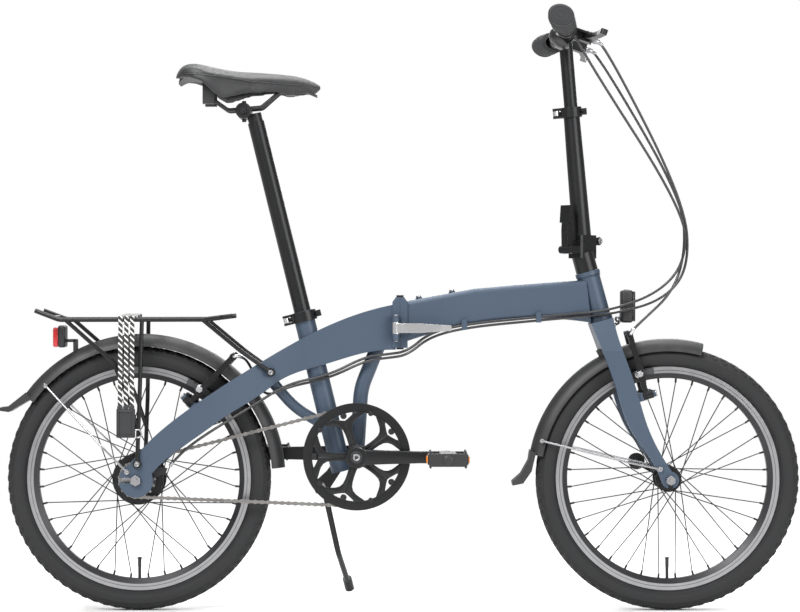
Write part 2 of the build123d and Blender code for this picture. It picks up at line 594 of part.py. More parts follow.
def frame_latch_lever():
    """Long lever on the hinge's right side, pivoted behind the seam."""
    barrel = rod((-8, -46, 524), (-8, -46, 546), 7.5)
    pts = [(-12, -44), (-12, -52), (10, -56), (97, -53), (97, -47), (12, -48), (-2, -41)]
    arm = Solid.extrude(outline(Plane(origin=(0, 0, 526)), loop(pts)), Vector(0, 0, 18))
    trim = side_plain([(20, 500), (99, 500), (99, 530), (20, 525)], -60, -40)
    trim2 = side_plain([(20, 570), (99, 570), (99, 540), (20, 545)], -60, -40)
    return join(barrel, arm) - [trim, trim2, rod((-8, -46, 520), (-8, -46, 550), 3.0 + RUN)]


def headset_cups():
    b = STEERER_R + RUN
    parts = [rod(head(GAP), head(HEAD_LOW), 23.5), rod(head(HEAD_LOW), head(HEAD_LOW + 7), 17.5),
             rod(head(HEAD_HIGH), head(HEAD_HIGH + 8), 23.5), rod(head(HEAD_HIGH - 7), head(HEAD_HIGH), 17.5)]
    cut = rod(head(-3), head(HEAD_HIGH + 12), b)
    return Compound(children=[join(*parts[:2]) - cut, join(*parts[2:]) - cut])


def fork():
    front = [(402, 554.8), (414, 504), (431, 457), (449, 400), (466, 346), (490, 297), (517, 256)]
    rear = [(492, 243), (472.5, 286), (431, 349), (407, 417), (383, 484.5), (360, 543.2)]
    w = FRONT_OLD / 2
    shape = side([front, [front[-1], rear[0]], rear, [rear[-1], front[0]]], -w - 16, w + 16)
    pts = [(-w - 16, 200), (w + 16, 200), (w + 16, 492), (w + 4, 530), (w - 18, 570), (18 - w, 570),
           (-w - 4, 530), (-w - 16, 492)]
    view = Plane(origin=(st(300), 0, 0), x_dir=(0, 1, 0), z_dir=(1, 0, 0))
    shape = shape & Solid.extrude(outline(view, loop(pts)), Vector(300, 0, 0))
    shape = shape - ybar(FRONT_X, AXLE_Z, 277.0, -w, w)
    parts = [shape, rod(head(-12), head(125), STEERER_R), *brake_boss(FRONT_BOSS, w + 6)]
    for s in (1, -1):
        parts.append(ybar(FRONT_X, AXLE_Z, 16.0, s * w, s * (w + 16)))
    cuts = [rod(head(-8), head(126), 12.0)]
    for s in (1, -1):
        y0, y1 = sorted((s * (w - 1), s * (w + 17)))
        cuts += [box(FRONT_X - 4.6, FRONT_X + 4.6, y0, y1, AXLE_Z - 20, AXLE_Z), ybar(FRONT_X, AXLE_Z, 4.6, y0, y1)]
    return join(*parts) - cuts


# --------------------------- handlepost and handlebar ------------------------
def hp_knuckle(y0, y1, s):
    """Eye round the handlepost's hinge pin; s is +1 on the post, -1 on the base."""
    z0, z1 = sorted((s * 0.15, s * 8.0))
    return join(local_rod(HP, (HP_PIN, y0, 0), (HP_PIN, y1, 0), 8.0),
                slab(HP, [(20, y0), (HP_PIN, y0), (HP_PIN, y1), (20, y1)], z0, z1))


def handlepost_base():
    block = slab(HP, [(-22, -15), (-17, -17), (21.5, -17), (21.5, 17), (-17, 17), (-22, 15)], -33, -0.15)
    parts = [rod(head(96.3), head(132), 21.0) & box(st(300), st(400), -30, 30, 600, BASE_TOP - 0.15), block,
             hp_knuckle(-17, -8.3, -1), hp_knuckle(8.3, 17, -1),
             local_rod(HP, (HP_PIN, -18.5, 0), (HP_PIN, 18.5, 0), 3.0)]
    # Ears and pin for the latch at the rear right.
    for y0, y1 in ((-15, -8.3), (8.3, 15)):
        parts += [slab(HP, [(-44, y0), (-20, y0), (-20, y1), (-44, y1)], -24, -10),
                  local_rod(HP, (-44, y0, -17), (-44, y1, -17), 7.5)]
    parts.append(local_rod(HP, (-44, -15, -17), (-44, 15, -17), 3.0))
    return join(*parts) - rod(head(80), head(125), STEERER_R)


def handlepost():
    flange = slab(HP, [(-22, -15), (-17, -17), (21.5, -17), (21.5, 17), (-17, 17), (-22, 15)], 0.15, 11)
    parts = [flange, hp_knuckle(-8, 8, 1), cone(post(4), post(150), 18.0, 16.5), cone(post(150), post(255), 16.5, 15.0)]
    cuts = [rod(post(9), post(300), INNER_POST_R + RUN), local_rod(HP, (HP_PIN, -30, 0), (HP_PIN, 30, 0), 3.0 + RUN)]
    return join(*parts) - cuts


def handlepost_latch_lever():
    """Latch with a paddle that lies along the back of the post when shut."""
    axis_z = -17
    eye = local_rod(HP, (-44, -8, axis_z), (-44, 8, axis_z), 8.0)
    view = Plane(origin=HP.from_local_coords((0, 8, 0)), x_dir=HP.x_dir, z_dir=-HP.y_dir)
    pts = [(-50, -17), (-51, 20), (-47, 66), (-39, 66), (-36, 20), (-27, 10), (-27, 2), (-37, 0), (-39, -17)]
    arm = slab(view, pts, 0, 16)
    pad = slab(view, [(-50, 34), (-47, 67), (-41, 67), (-43, 34)], -5, 21)
    return join(eye, arm, pad) - local_rod(HP, (-44, -30, axis_z), (-44, 30, axis_z), 3.0 + RUN)


def tube_plane(at, t):
    """Local frame on a leaning tube: x forwards, y left, z up the tube."""
    o, f, u = Vector(*at(t)), Vector(*at(t, 1)), Vector(*at(t + 1))
    return Plane(origin=o, x_dir=f - o, z_dir=u - o)


def clamp_collar(plane, inner, outer):
    """Quick-release collar: rear ears hold the lever's pin, a bolt crosses the front ears."""
    h = CLAMP_H / 2
    parts = [local_rod(plane, (0, 0, -h), (0, 0, h), outer)]
    for z0, z1 in ((-h, -5.0), (5.0, h)):
        pts = [(-outer - 15, -7), (-inner - 1, -9), (-inner - 1, 9), (-outer - 15, 7)]
        parts.append(slab(plane, pts, z0, z1))
    parts.append(local_rod(plane, (-outer - 9, 0, -h), (-outer - 9, 0, h), 2.5))
    parts.append(slab(plane, [(inner + 1, -8), (outer + 9, -6), (outer + 9, 6), (inner + 1, 8)], -6, 6))
    parts.append(local_rod(plane, (outer + 4, -13, 0), (outer + 4, 12, 0), 3.5))
    return join(*parts) - local_rod(plane, (0, 0, -h - 1), (0, 0, h + 1), inner)


def clamp_lever(plane, outer):
    """Lever that lies round the collar's left side."""
    x = -outer - 9
    eye = local_rod(plane, (x, 0, -4.6), (x, 0, 4.6), 6.0)
    r = outer + 4
    pts = [(x - 3, 3), (x + 2, r - 8), (-10, r + 5), (24, r + 8), (24, r + 3), (-8, r), (x + 7, r - 10), (x + 5, 4)]
    return join(eye, slab(plane, pts, -4.3, 4.3)) - local_rod(plane, (x, 0, -9), (x, 0, 9), 2.5 + RUN)


SEAT_CLAMP = tube_plane(seat, SEAT_TOP - CLAMP_H / 2 - 0.5)
POST_CLAMP = tube_plane(post, 255 - CLAMP_H / 2 - 0.5)


def seat_clamp_collar():
    return clamp_collar(SEAT_CLAMP, SEAT_TUBE_R, SEAT_TUBE_R + 5)


def seat_clamp_lever():
    return clamp_lever(SEAT_CLAMP, SEAT_TUBE_R + 5)


def post_clamp_collar():
    cut = cone(post(150), post(255), 16.5, 15.0)
    return clamp_collar(POST_CLAMP, 15.0, 20.0) - cut


def post_clamp_lever():
    return clamp_lever(POST_CLAMP, 20.0)


CLAMP_T = 391.4              # bar clamp along the handlepost
BAR_MID = post(CLAMP_T)
MID = 70.0                   # straight middle of the bar


def bar(v):
    """Point on the bar's axis at lateral distance v, on the left."""
    k = max(0.0, (v - MID) / (BAR_HALF - MID))
    return (BAR_MID[0] - 21.5 * k, v, BAR_MID[2] + 6.0 * k)


def flip(p):
    return (p[0], -p[1], p[2])


def inner_post():
    stem = rod(post(105), post(CLAMP_T - 10), INNER_POST_R) - rod(post(104), post(CLAMP_T - 18), INNER_POST_R - 2.3)
    clamp = ybar(BAR_MID[0], BAR_MID[2], 17.0, -24, 24)
    ears = box(BAR_MID[0] + 8, BAR_MID[0] + 24, -22, 22, BAR_MID[2] - 8, BAR_MID[2] + 8)
    return join(stem, clamp, ears) - ybar(BAR_MID[0], BAR_MID[2], BAR_R, -30, 30)


def handlebar():
    end = bar(BAR_HALF)
    return bent([end, bar(MID), flip(bar(MID)), flip(end)], BAR_R, 60, BAR_R - 2)


def bar_plane(v):
    """Local frame on the left half of the bar: z outwards along it, x forwards."""
    a, b = Vector(*bar(MID)), Vector(*bar(BAR_HALF))
    z = (b - a).normalized()
    return Plane(origin=Vector(*bar(v)), x_dir=Vector(*LEVER_F), z_dir=z)


LEVER_F = (0.94, 0, -0.3412)          # from the bar towards the lever
LEVER_A = (0.3412, 0, 0.94)           # lever pivot axis


def grips():
    """Oval hand grips with a palm rest at the back."""
    p = bar_plane(BAR_HALF - GRIP_LEN + 5)
    shape = p * extrude(Location((-4, 0)) * Ellipse(25.0, 19.0), GRIP_LEN)
    shape = fillet(shape.edges(), 5.0) - rod(bar(MID + 1), bar(BAR_HALF), BAR_R)
    return Compound(children=both(shape))


def lever_plane(s):
    x, y, z = bar(100.0)
    f = 42.0
    return Plane(origin=(x + f * LEVER_F[0], s * 100, z + f * LEVER_F[2]), x_dir=LEVER_F, z_dir=LEVER_A)


def brake_lever(s):
    """Blade in the lever's plane; local x is forwards and y to the left."""
    p = lever_plane(s)
    pts = [(-6, -8), (-6, 10), (2, 42), (9, 90), (13, 148), (19, 152), (24, 149), (19, 90), (12, 40), (9, -4), (2, -9)]
    blade = slab(p, [(u, s * v) for u, v in pts], -5.0, 5.0)
    knob = local_rod(p, (18.5, s * 152, -5), (18.5, s * 152, 5), 6.5)
    return join(blade, knob, local_rod(p, (0, 0, -5), (0, 0, 5), 9.0)) - local_rod(p, (0, 0, -9), (0, 0, 9), 3 + RUN)


def brake_lever_mounts():
    """Clamp, bracket and pin of each brake lever, and the bell behind the bar."""
    parts = []
    for s in (1, -1):
        p = lever_plane(s)
        a, b = bar(88.0), bar(104.0)
        if s < 0:
            a, b = flip(a), flip(b)
        ring = rod(a, b, 15.0)
        bodies = [ring, local_rod(p, (0, 0, -9), (0, 0, 9), 3.0)]
        for z0, z1 in ((-9.5, -5.4), (5.4, 9.5)):
            q = [(-34, -6), (-34, 4), (4, 8), (9, 0), (6, -9), (-6, -12)]
            bodies.append(slab(p, [(u, s * v) for u, v in q], z0, z1))
        bodies.append(slab(p, [(u, s * v) for u, v in ((-36, -10), (-36, 3), (-22, 3), (-22, -10))], -9.5, 9.5))
        bodies.append(slab(p, [(u, s * v) for u, v in ((-30, -24), (-30, -9), (10, -10), (10, -22))], -9.5, 9.5))
        bodies.append(local_rod(p, (9, s * -16, 0), (22, s * -16, 0), 4.5))
        cut = rod(flip(bar(MID + 1)) if s < 0 else bar(MID + 1), flip(bar(140)) if s < 0 else bar(140), BAR_R)
        parts.append(join(*bodies) - cut)
    return Compound(children=parts + bell())


def bell():
    """Dome on a strap round the straight middle of the bar."""
    x, z = BAR_MID[0], BAR_MID[2]
    strap = ytube(x, z, 14.0, BAR_R, -62, -52)
    n = Vector(-0.75, 0, -0.66).normalized()
    # The dome's section, from the strap to the open rim and on to the crown.
    dome = turned(loop([(0, 14.5), (24, 16), (22.5, 22), (18.5, 28), (11, 33), (0, 35)]))
    dome = Plane(origin=Vector(x, -57, z), z_dir=n, x_dir=(0, 1, 0)).location * dome
    return [strap, dome - ybar(x, z, 14.0, -80, -30)]


def gear_shifter():
    a, b = flip(bar(124.0)), flip(bar(BAR_HALF - GRIP_LEN + 4))
    u = (Vector(*b) - Vector(*a)).normalized()
    c = tuple(Vector(*a) + u * 12)
    return join(rod(a, c, 19.0), rod(c, b, 16.5)) - rod(flip(bar(MID + 1)), flip(bar(200)), BAR_R + RUN)


# ----------------------------------- brakes ---------------------------------
def brake_arm(plane, axle_x, s):
    """Arm with its pad; s is the side in the local frame, the same as in the bicycle's."""
    t = 1 if plane.y_dir.Y > 0 else -1
    pts = [(-7, 34), (-7, 46), (50, 46), (100, 42), (122, 40), (125, 34), (122, 31), (96, 31.5), (50, 36), (8, 34)]
    arm = slab(plane, [(u, s * t * v) for u, v in pts], -4.0, 6.0)
    sleeve = local_rod(plane, (0, s * t * BRAKE_Y, -6.0), (0, s * t * BRAKE_Y, 14.0), 8.0)
    o = plane.origin
    a = degrees(atan2(o.Z - AXLE_Z, o.X - axle_x))
    y0, y1 = s * (RIM_W / 2 + PAD_GAP), s * (RIM_W / 2 + PAD_GAP + 10)
    ring = ytube(axle_x, AXLE_Z, 211.5, 200.5, min(y0, y1), max(y0, y1)) if s > 0 else \
        mirror(ytube(axle_x, AXLE_Z, 211.5, 200.5, -max(y0, y1), -min(y0, y1)), about=Plane.XZ)
    cx, cz = polar(axle_x, 206.0, a)
    pad = ring & (Pos(cx, 0, cz) * Rot(0, 90 - a, 0) * Box(56, 90, 30))
    peg = rod((cx, y1 - s, cz), (cx, s * 47, cz), 3.5)
    hole = local_rod(plane, (117, -60, 1), (117, 60, 1), CABLE_R + 0.5)
    stud = local_rod(plane, (0, s * t * BRAKE_Y, -20), (0, s * t * BRAKE_Y, 20), 4.0 + RUN)
    return join(arm, sleeve, pad, peg) - [hole, stud]


# ---------------------------------- mudguards -------------------------------
def mudguard(cx, cz, r, a0, a1):
    """Arched strip with rolled edges, from angle a0 to a1 up from forwards."""
    h, d, t = 28.0, 24.0, 1.6
    plane = Plane(origin=(0, 0, 0), x_dir=(1, 0, 0), z_dir=(0, -1, 0))
    o = [Vector(r - d, 0, -h), Vector(r, 0, 0), Vector(r - d, 0, h)]
    i = [Vector(r - d, 0, h - t), Vector(r - t, 0, 0), Vector(r - d, 0, t - h)]
    wire = Wire([Edge.make_three_point_arc(*o), Edge.make_line(o[2], i[0]),
                 Edge.make_three_point_arc(*i), Edge.make_line(i[2], o[0])])
    face = Face(wire).rotate(Axis.Z, -a1)
    return Location((cx, 0, cz), (-90, 0, 0)) * Solid.revolve(face, a1 - a0, Axis.Z)


def flap(points):
    """Rubber flap below a mudguard, as a side outline."""
    return side(loop(points), -24, 24)


def rear_mudguard():
    cx = REAR_X + 5
    strip = mudguard(cx, AXLE_Z + 2, 272.0, 4.0, 145.0)
    (x, z), (x1, z1) = polar(REAR_X, 270.0, 35.8), polar(REAR_X, 289.0, 35.8)
    tab = rod((x, 0, z), (x1, 0, z1), 5.0) - [strip, ybar(cx, AXLE_Z + 2, 271.0, -20, 20)]
    tail = flap([(-708, 413), (-742, 386), (-757.5, 384.5), (-757.5, 378.5), (-740, 376), (-698, 401)])
    return Compound(children=[strip, tab, tail - strip])


def front_mudguard():
    strip = mudguard(FRONT_X, AXLE_Z, 265.0, 75.0, 170.0)
    (x, z), (x1, z1) = polar(FRONT_X, 260.0, 118.0), polar(FRONT_X, 279.0, 118.0)
    tab = rod((x, 0, z), (x1, 0, z1), 6.0) & ybar(FRONT_X, AXLE_Z, 277.0, -20, 20)
    tail = flap([(246, 304), (243, 284), (229, 259), (212, 244), (213, 237), (233, 241), (249, 264), (257, 298)])
    return Compound(children=[strip, tab - [strip, ybar(FRONT_X, AXLE_Z, 264.0, -20, 20)], tail - strip])


def stay_pair(foot, mid, top):
    """Thin rod on each side with an eyelet at the foot."""
    parts = []
    for s in (1, -1):
        a, b, c = [(p[0], s * p[1], p[2]) for p in (foot, mid, top)]
        parts.append(join(bent([a, b, c], 2.0, 40), rod((a[0], a[1] - s * 2.2, a[2]), (a[0], a[1] + s * 2.2, a[2]), 5.0),
                          rod((c[0], c[1] - s * 2.2, c[2]), (c[0], c[1] + s * 2.0, c[2]), 4.0)))
    return Compound(children=parts)


def rear_mudguard_stays():
    y = REAR_OLD / 2 + 7 + 2.2
    return stay_pair((st(-511), y, 266), (st(-556), 74, 311), (st(-669), 30.2, 426))


def front_mudguard_stays():
    y = FRONT_OLD / 2 + 16 + 2.2
    return stay_pair((st(487), y, 271), (st(430), 67, 283), (st(268), 30.2, 322))


# --------------------------------- rack, lights -----------------------------
def rear_rack():
    """Tubular carrier: two side rails with upturned ends, cross tubes and six struts."""
    z, out = 551.0, REAR_OLD / 2 + 7
    parts = []
    for s in (1, -1):
        y = s * 62.0
        parts.append(bent([(st(-685), y * 0.9, z + 17), (st(-640), y, z), (st(-366), y, z + 0.5),
                           (st(-315), y * 0.85, z + 7)], 4.5, 30))
        parts.append(bent([(st(-484), y, z - 2), (st(-487), s * (out + 5), 400), (st(-491.5), s * (out + 5), 281)], 4.0, 60))
        parts.append(bent([(st(-627), y, z - 1), (st(-536), s * 66, 470), (st(-506), s * 73, 395),
                           (st(-490), s * (out + 5), 345)], 4.0, 20))
        parts.append(bent([(st(-369), y, z - 1), (st(-300), s * 60, 493), (st(-243), s * 49, 452)], 4.0, 40))
        parts.append(ybar(st(-491.5), 281, 8.0, s * out, s * (out + 8)))
        parts.append(ybar(st(-243), 452, 8.0, s * 45, s * 53))
    for x in (-655, -600, -540, -450, -385, -335):
        parts.append(ybar(st(x), z + (5 if x in (-655, -335) else 0), 3.5, -61, 61))
    for y in (-20.0, 20.0):
        parts.append(rod((st(-600), y, z + 0.5), (st(-385), y, z + 0.5), 3.0))
    return join(*parts)


def rack_straps():
    """Three elastic bands from a rubber end, up the right side and over the deck."""
    parts = []
    for k in range(3):
        x = st(-527.0 + 11 * k)
        plane = Plane(origin=(x, 0, 0), x_dir=(0, 1, 0), z_dir=(1, 0, 0))
        pts = [(-83.5, 384), (-81.5, 384), (-70.0, 556), (66.5, 560.4), (70.0, 548), (72.0, 548.6), (68.0, 562.4),
               (-72.0, 558)]
        parts.append(Solid.extrude(outline(plane, loop(pts)), Vector(8, 0, 0)))
    end = box(st(-529), st(-495), -85, -80, 330, 384)
    hook = bent([(st(-497), -83, 345), (st(-489), -83, 345), (st(-489), -83, 334)], 1.6, 2)
    return Compound(children=parts + [join(end, hook)])


def rear_light():
    body = box(st(-647), st(-634), -24, 24, 498, 540)
    lens = box(st(-657), st(-647), -22, 22, 498, 536)
    arm = join(box(st(-634), st(-616), -8, 8, 508, 514), box(st(-620), st(-612), -8, 8, 487, 514))
    guard = mudguard(REAR_X + 5, AXLE_Z + 2, 272.0, 4.0, 145.0)
    inside = ybar(REAR_X + 5, AXLE_Z + 2, 271.9, -40, 40)
    return join(softened(body, 3.0, 12), lens, arm) - guard - inside


def headlight():
    body = softened(box(st(419), st(441), -21, 21, 545, 607), 4.0, 15)
    lens = softened(box(st(441), st(447), -19, 19, 556, 604), 2.5, 30)
    wire = bent([(st(400), 0, 536), (st(411), 0, 545), (st(411), 0, 562), (st(424), 0, 568)], 2.5, 4)
    return join(body, lens, wire) - fork_crown()


def fork_crown():
    """The crown's front face, for what is bolted against it."""
    return side_plain([(st(360), 543.2), (st(402), 554.8), (st(414), 504), (st(383), 484.5)], -30, 30)


# ---------------------------------- seat ------------------------------------
def seatpost():
    foot = POST_TOP - POST_LEN
    return rod(seat(foot), seat(POST_TOP), SEATPOST_R) - rod(seat(foot - 1), seat(POST_TOP - 6), SEATPOST_R - 2.2)


def sd(x):
    """Saddle stations move with the seat tube."""
    return x + st(-118.2) + 118.2


def saddle_rails():
    pts = [(-360, 33, 972), (-325, 22, 947), (-262, 22, 952.5), (-229, 15, 981), (-196, 11, 986)]
    parts = [bent([(sd(x), s * y, z) for x, y, z in pts], 3.5, 12) for s in (1, -1)]
    return Compound(children=parts)


def saddle_clamp():
    neck = rod(seat(POST_TOP), seat(POST_TOP + 16), 14.0)
    body = ybar(sd(-296), 946, 14.5, -28, 28)
    bolt = rod((sd(-296), 0, 926), (sd(-296), 0, 966), 4.0)
    return join(neck, body, bolt) - saddle_rails()


def saddle_side(drop):
    top = [(-425, 1010 - drop), (-406, 1031 - drop), (-351, 1024 - drop), (-282, 1015 - drop), (-194, 1011 - drop),
           (-148, 993 - drop)]
    return top


def solid_side(runs, y0, y1):
    plane = Plane(origin=(0, y0, 0), x_dir=(1, 0, 0), z_dir=(0, -1, 0))
    runs = [[(sd(x), z) for x, z in run] for run in runs]
    return Solid.extrude(outline(plane, runs), Vector(0, y1 - y0, 0))


def saddle_plan(inset, z0, z1):
    """Saddle seen from above, wide at the back and narrow at the nose."""
    half = [(-425 + inset, 30 - inset), (-412 + inset, 62 - inset), (-380, 77 - inset), (-330, 70 - inset),
            (-280, 46 - inset), (-230, 29 - inset), (-180, 21 - inset), (-150 - inset, 12 - inset * 0.6)]
    other = [(x, -y) for x, y in half[::-1]]
    plane = Plane(origin=(0, 0, z0))
    runs = [[(sd(x), y) for x, y in run] for run in (half, [half[-1], other[0]], other, [other[-1], half[0]])]
    return Solid.extrude(outline(plane, runs), Vector(0, 0, z1 - z0))


SADDLE_LOW = [(-148, 993), (-161, 981), (-212, 973), (-236, 980), (-282, 976), (-332, 963), (-352, 974),
              (-373, 996), (-395, 1006), (-425, 1010)]


def saddle_cover():
    """Padded top with skirts; hollow below, where the base fits."""
    top = saddle_side(0)
    shape = solid_side([top, *[[a, b] for a, b in zip(SADDLE_LOW, SADDLE_LOW[1:])]], -100, 100)
    shape = shape & saddle_plan(0, 900, 1100)
    ceil = saddle_side(22)
    pocket = solid_side([ceil, [ceil[-1], (-148, 900)], [(-148, 900), (-425, 900)], [(-425, 900), ceil[0]]], -100, 100)
    return shape - (pocket & saddle_plan(7, 900, 1100))


def saddle_base():
    """Moulded plate under the padding, with sockets for the rails."""
    ceil, low = saddle_side(22), saddle_side(26.5)
    shape = solid_side([ceil, [ceil[-1], low[-1]], low[::-1], [low[0], ceil[0]]], -100, 100)
    shape = shape & saddle_plan(7, 900, 1100)
    rear = [box(sd(-372), sd(-350), s * 33 - 8, s * 33 + 8, 958, 1000) for s in (1, -1)]
    nose = [box(sd(-216), sd(-194), -15, 15, 976, 988)]
    return join(shape, *rear, *nose) - saddle_rails()


# ---------------------------------- cables ----------------------------------
def lever_point(s, off):
    p = lever_plane(s)
    return tuple(p.from_local_coords((22.0 + off, s * -16, 0)))


def route(points):
    return [(st(x), y, z) for x, y, z in points]


REAR_BRAKE_ROUTE = [lever_point(-1, 0), lever_point(-1, 12)] + route(
    [(536, -34, 776), (547, -28, 650), (498, -31, 588), (402, -32, 561.5), (330, -27.8, 555.5), (266, -27.2, 549.8),
     (128, -27.2, 536.6), (56, -27.2, 518.5), (14, -27.2, 483.5), (-24, -27.2, 478.5), (-64, -27, 474), (-134, -27, 440),
     (-212, -27, 424), (-260, -11, 402), (-286, -12, 472), (-304, -47, 484)])
SHIFT_ROUTE = [tuple(Vector(*flip(bar(128))) + Vector(16, 0, -14)),
               tuple(Vector(*flip(bar(126))) + Vector(28, 4, -42))] + route(
    [(538, -40, 752), (538, -35, 660), (490, -37, 603), (400, -38, 569), (330, -28, 562), (266, -27.2, 556),
     (128, -27.2, 543), (56, -27.2, 526.5), (14, -27.2, 490.6), (-24, -27.2, 485.5), (-66, -27.5, 481), (-134, -33, 446),
     (-212, -36, 430), (-266, -48, 396), (-384, -71, 324), (-424, -64, 287), (-431, -59.5, 276.5)])
FRONT_BRAKE_ROUTE = [lever_point(1, 0), lever_point(1, 12)] + route(
    [(532, -6, 786), (542, -14, 690), (520, -14, 606), (452, -51, 546), (434, -53, 528)])


def front_brake_cable():
    """Housing from the left lever to the noodle, and the inner wire across to the far arm."""
    x, y, z = FRONT_BOSS.from_local_coords((117, 0, 1))
    line = FRONT_BRAKE_ROUTE + [(x, -48.0, z), (x, -28.0, z)]
    outer = bent(line, CABLE_R, bends(line, 120.0))
    return Compound(children=[outer, rod((x, -28.0, z), (x, 47, z), 0.8)])


def rear_brake_cable():
    x, y, z = REAR_BOSS.from_local_coords((117, 0, 1))
    line = REAR_BRAKE_ROUTE + [(x, -44.0, z), (x, -28.0, z)]
    outer = bent(line, CABLE_R, bends(line, 50.0))
    return Compound(children=[outer, rod((x, -28.0, z), (x, 47, z), 0.8)])


def shift_cable():
    return bent(SHIFT_ROUTE, CABLE_R, bends(SHIFT_ROUTE, 120.0))


# --------------------------------- export -----------------------------------
FRONT, REAR = wheel_place(FRONT_X), wheel_place(REAR_X)
NODES = {
    "rear_frame": rear_frame, "seat_clamp_collar": seat_clamp_collar, "bottom_bracket": bottom_bracket,
    "rear_mudguard": rear_mudguard, "rear_mudguard_stays": rear_mudguard_stays, "rear_rack": rear_rack,
    "rack_straps": rack_straps, "rear_light": rear_light, "rear_axle": rear_axle, "chain": chain,
    "kickstand": kickstand, "seatpost": seatpost, "saddle_clamp": saddle_clamp, "saddle_rails": saddle_rails,
    "saddle_base": saddle_base, "saddle_cover": saddle_cover, "seat_clamp_lever": seat_clamp_lever,
    "front_frame": front_frame, "hinge_pin": hinge_pin, "headset_cups": headset_cups,
    "frame_latch_lever": frame_latch_lever, "fork": fork, "front_axle": front_axle,
    "front_mudguard": front_mudguard, "front_mudguard_stays": front_mudguard_stays, "headlight": headlight,
    "handlepost_base": handlepost_base, "front_hub_lever": front_hub_lever, "handlepost": handlepost,
    "post_clamp_collar": post_clamp_collar, "handlepost_latch_lever": handlepost_latch_lever,
    "post_clamp_lever": post_clamp_lever, "inner_post": inner_post, "handlebar": handlebar, "grips": grips,
    "brake_lever_mounts": brake_lever_mounts, "gear_shifter": gear_shifter,
    "right_brake_lever": lambda: brake_lever(-1), "left_brake_lever": lambda: brake_lever(1),
    "front_tyre": lambda: FRONT * tyre(), "front_rim": lambda: FRONT * rim(),
    "front_spokes": lambda: FRONT * spokes(22.0, 28.0), "front_hub": lambda: FRONT * front_hub(),
    "rear_tyre": lambda: REAR * tyre(), "rear_rim": lambda: REAR * rim(),
    "rear_spokes": lambda: REAR * spokes(46.0, 28.0), "rear_hub": lambda: REAR * rear_hub(),
    "sprocket": sprocket, "chainring": chainring, "right_crank": right_crank, "left_crank": left_crank,
    "right_pedal": lambda: pedal(BB_X + CRANK, -1), "left_pedal": lambda: pedal(BB_X - CRANK, 1),
    "front_brake_left": lambda: brake_arm(FRONT_BOSS, FRONT_X, 1),
    "front_brake_right": lambda: brake_arm(FRONT_BOSS, FRONT_X, -1),
    "rear_brake_left": lambda: brake_arm(REAR_BOSS, REAR_X, 1),
    "rear_brake_right": lambda: brake_arm(REAR_BOSS, REAR_X, -1),
    "front_brake_cable": front_brake_cable, "rear_brake_cable": rear_brake_cable, "shift_cable": shift_cable,
}

if __name__ == "__main__":
    for name, make in NODES.items():
        export_step(make(), f"parts/{name}.step")
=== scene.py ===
from math import asin, atan2, cos, hypot, pi, radians, sin

import bpy
from mathutils import Euler, Matrix, Vector


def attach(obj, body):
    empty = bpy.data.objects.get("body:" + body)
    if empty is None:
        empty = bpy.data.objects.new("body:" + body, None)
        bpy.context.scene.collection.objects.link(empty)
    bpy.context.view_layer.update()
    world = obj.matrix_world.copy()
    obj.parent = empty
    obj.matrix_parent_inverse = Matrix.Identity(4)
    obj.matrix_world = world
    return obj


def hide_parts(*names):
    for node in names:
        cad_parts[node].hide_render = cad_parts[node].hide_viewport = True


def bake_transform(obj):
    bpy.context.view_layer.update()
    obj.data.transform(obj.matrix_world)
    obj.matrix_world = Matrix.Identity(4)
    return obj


bl_info = {
    "name": "Folding Bicycle",
    "version": (1, 0, 0),
    "blender": (4, 5, 0),
    "location": "View3D > Sidebar > Folding Bicycle",
    "description": "Adds tyres, cables, saddle, lights, trim and finishes to the bicycle's frame",
    "category": "Add Mesh",
}

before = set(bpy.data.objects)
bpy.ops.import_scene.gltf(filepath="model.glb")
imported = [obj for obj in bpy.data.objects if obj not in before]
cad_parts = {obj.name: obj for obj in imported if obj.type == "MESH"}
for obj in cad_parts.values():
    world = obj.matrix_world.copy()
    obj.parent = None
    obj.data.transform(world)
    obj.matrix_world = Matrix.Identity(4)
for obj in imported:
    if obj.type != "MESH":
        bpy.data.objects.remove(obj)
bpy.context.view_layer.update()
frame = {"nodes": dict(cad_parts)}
MM = 0.001

# ------------------------------- bicycle layout -------------------------------
AXLE_Z = 0.250
REAR_X, FRONT_X = -0.4945, 0.5071
RIM_IN = 0.190
BB = Vector((-0.0813, 0, 0.2934))
CRANK = 0.170
PITCH, RING_TEETH, COG_TEETH, CHAIN_Y = 0.0127, 46, 16, -0.047
BAR_HALF, BAR_MID_HALF, GRIP_LEN = 0.285, 0.070, 0.123
SEAT_LEAN, HEAD_LEAN, POST_LEAN = 13.8, 15.36, 4.8
BRAKE_Y = 0.040
PIPE_POINTS = 16             # points of a brake housing's line that its end pipe covers


def leaning(foot_x, foot_z, lean):
    """A tube that leans back: the point t along it, off forwards from its axis and y to the left."""
    a = radians(lean)

    def at(t, off=0.0, y=0.0):
        return Vector((foot_x - t * sin(a) + off * cos(a), y, foot_z + t * cos(a) + off * sin(a)))

    return at


seat = leaning(-0.1182, 0.2935, SEAT_LEAN)
head = leaning(0.3810, 0.5490, HEAD_LEAN)
post = leaning(0.3460, 0.7000, POST_LEAN)
BAR_MID = post(0.3914)
LEVER_F, LEVER_A = Vector((0.94, 0, -0.3412)), Vector((0.3412, 0, 0.94))


def bar(v):
    """Point on the handlebar's axis at the signed distance v to the left."""
    k = max(0.0, (abs(v) - BAR_MID_HALF) / (BAR_HALF - BAR_MID_HALF))
    return Vector((BAR_MID.x - 0.0215 * k, v, BAR_MID.z + 0.006 * k))


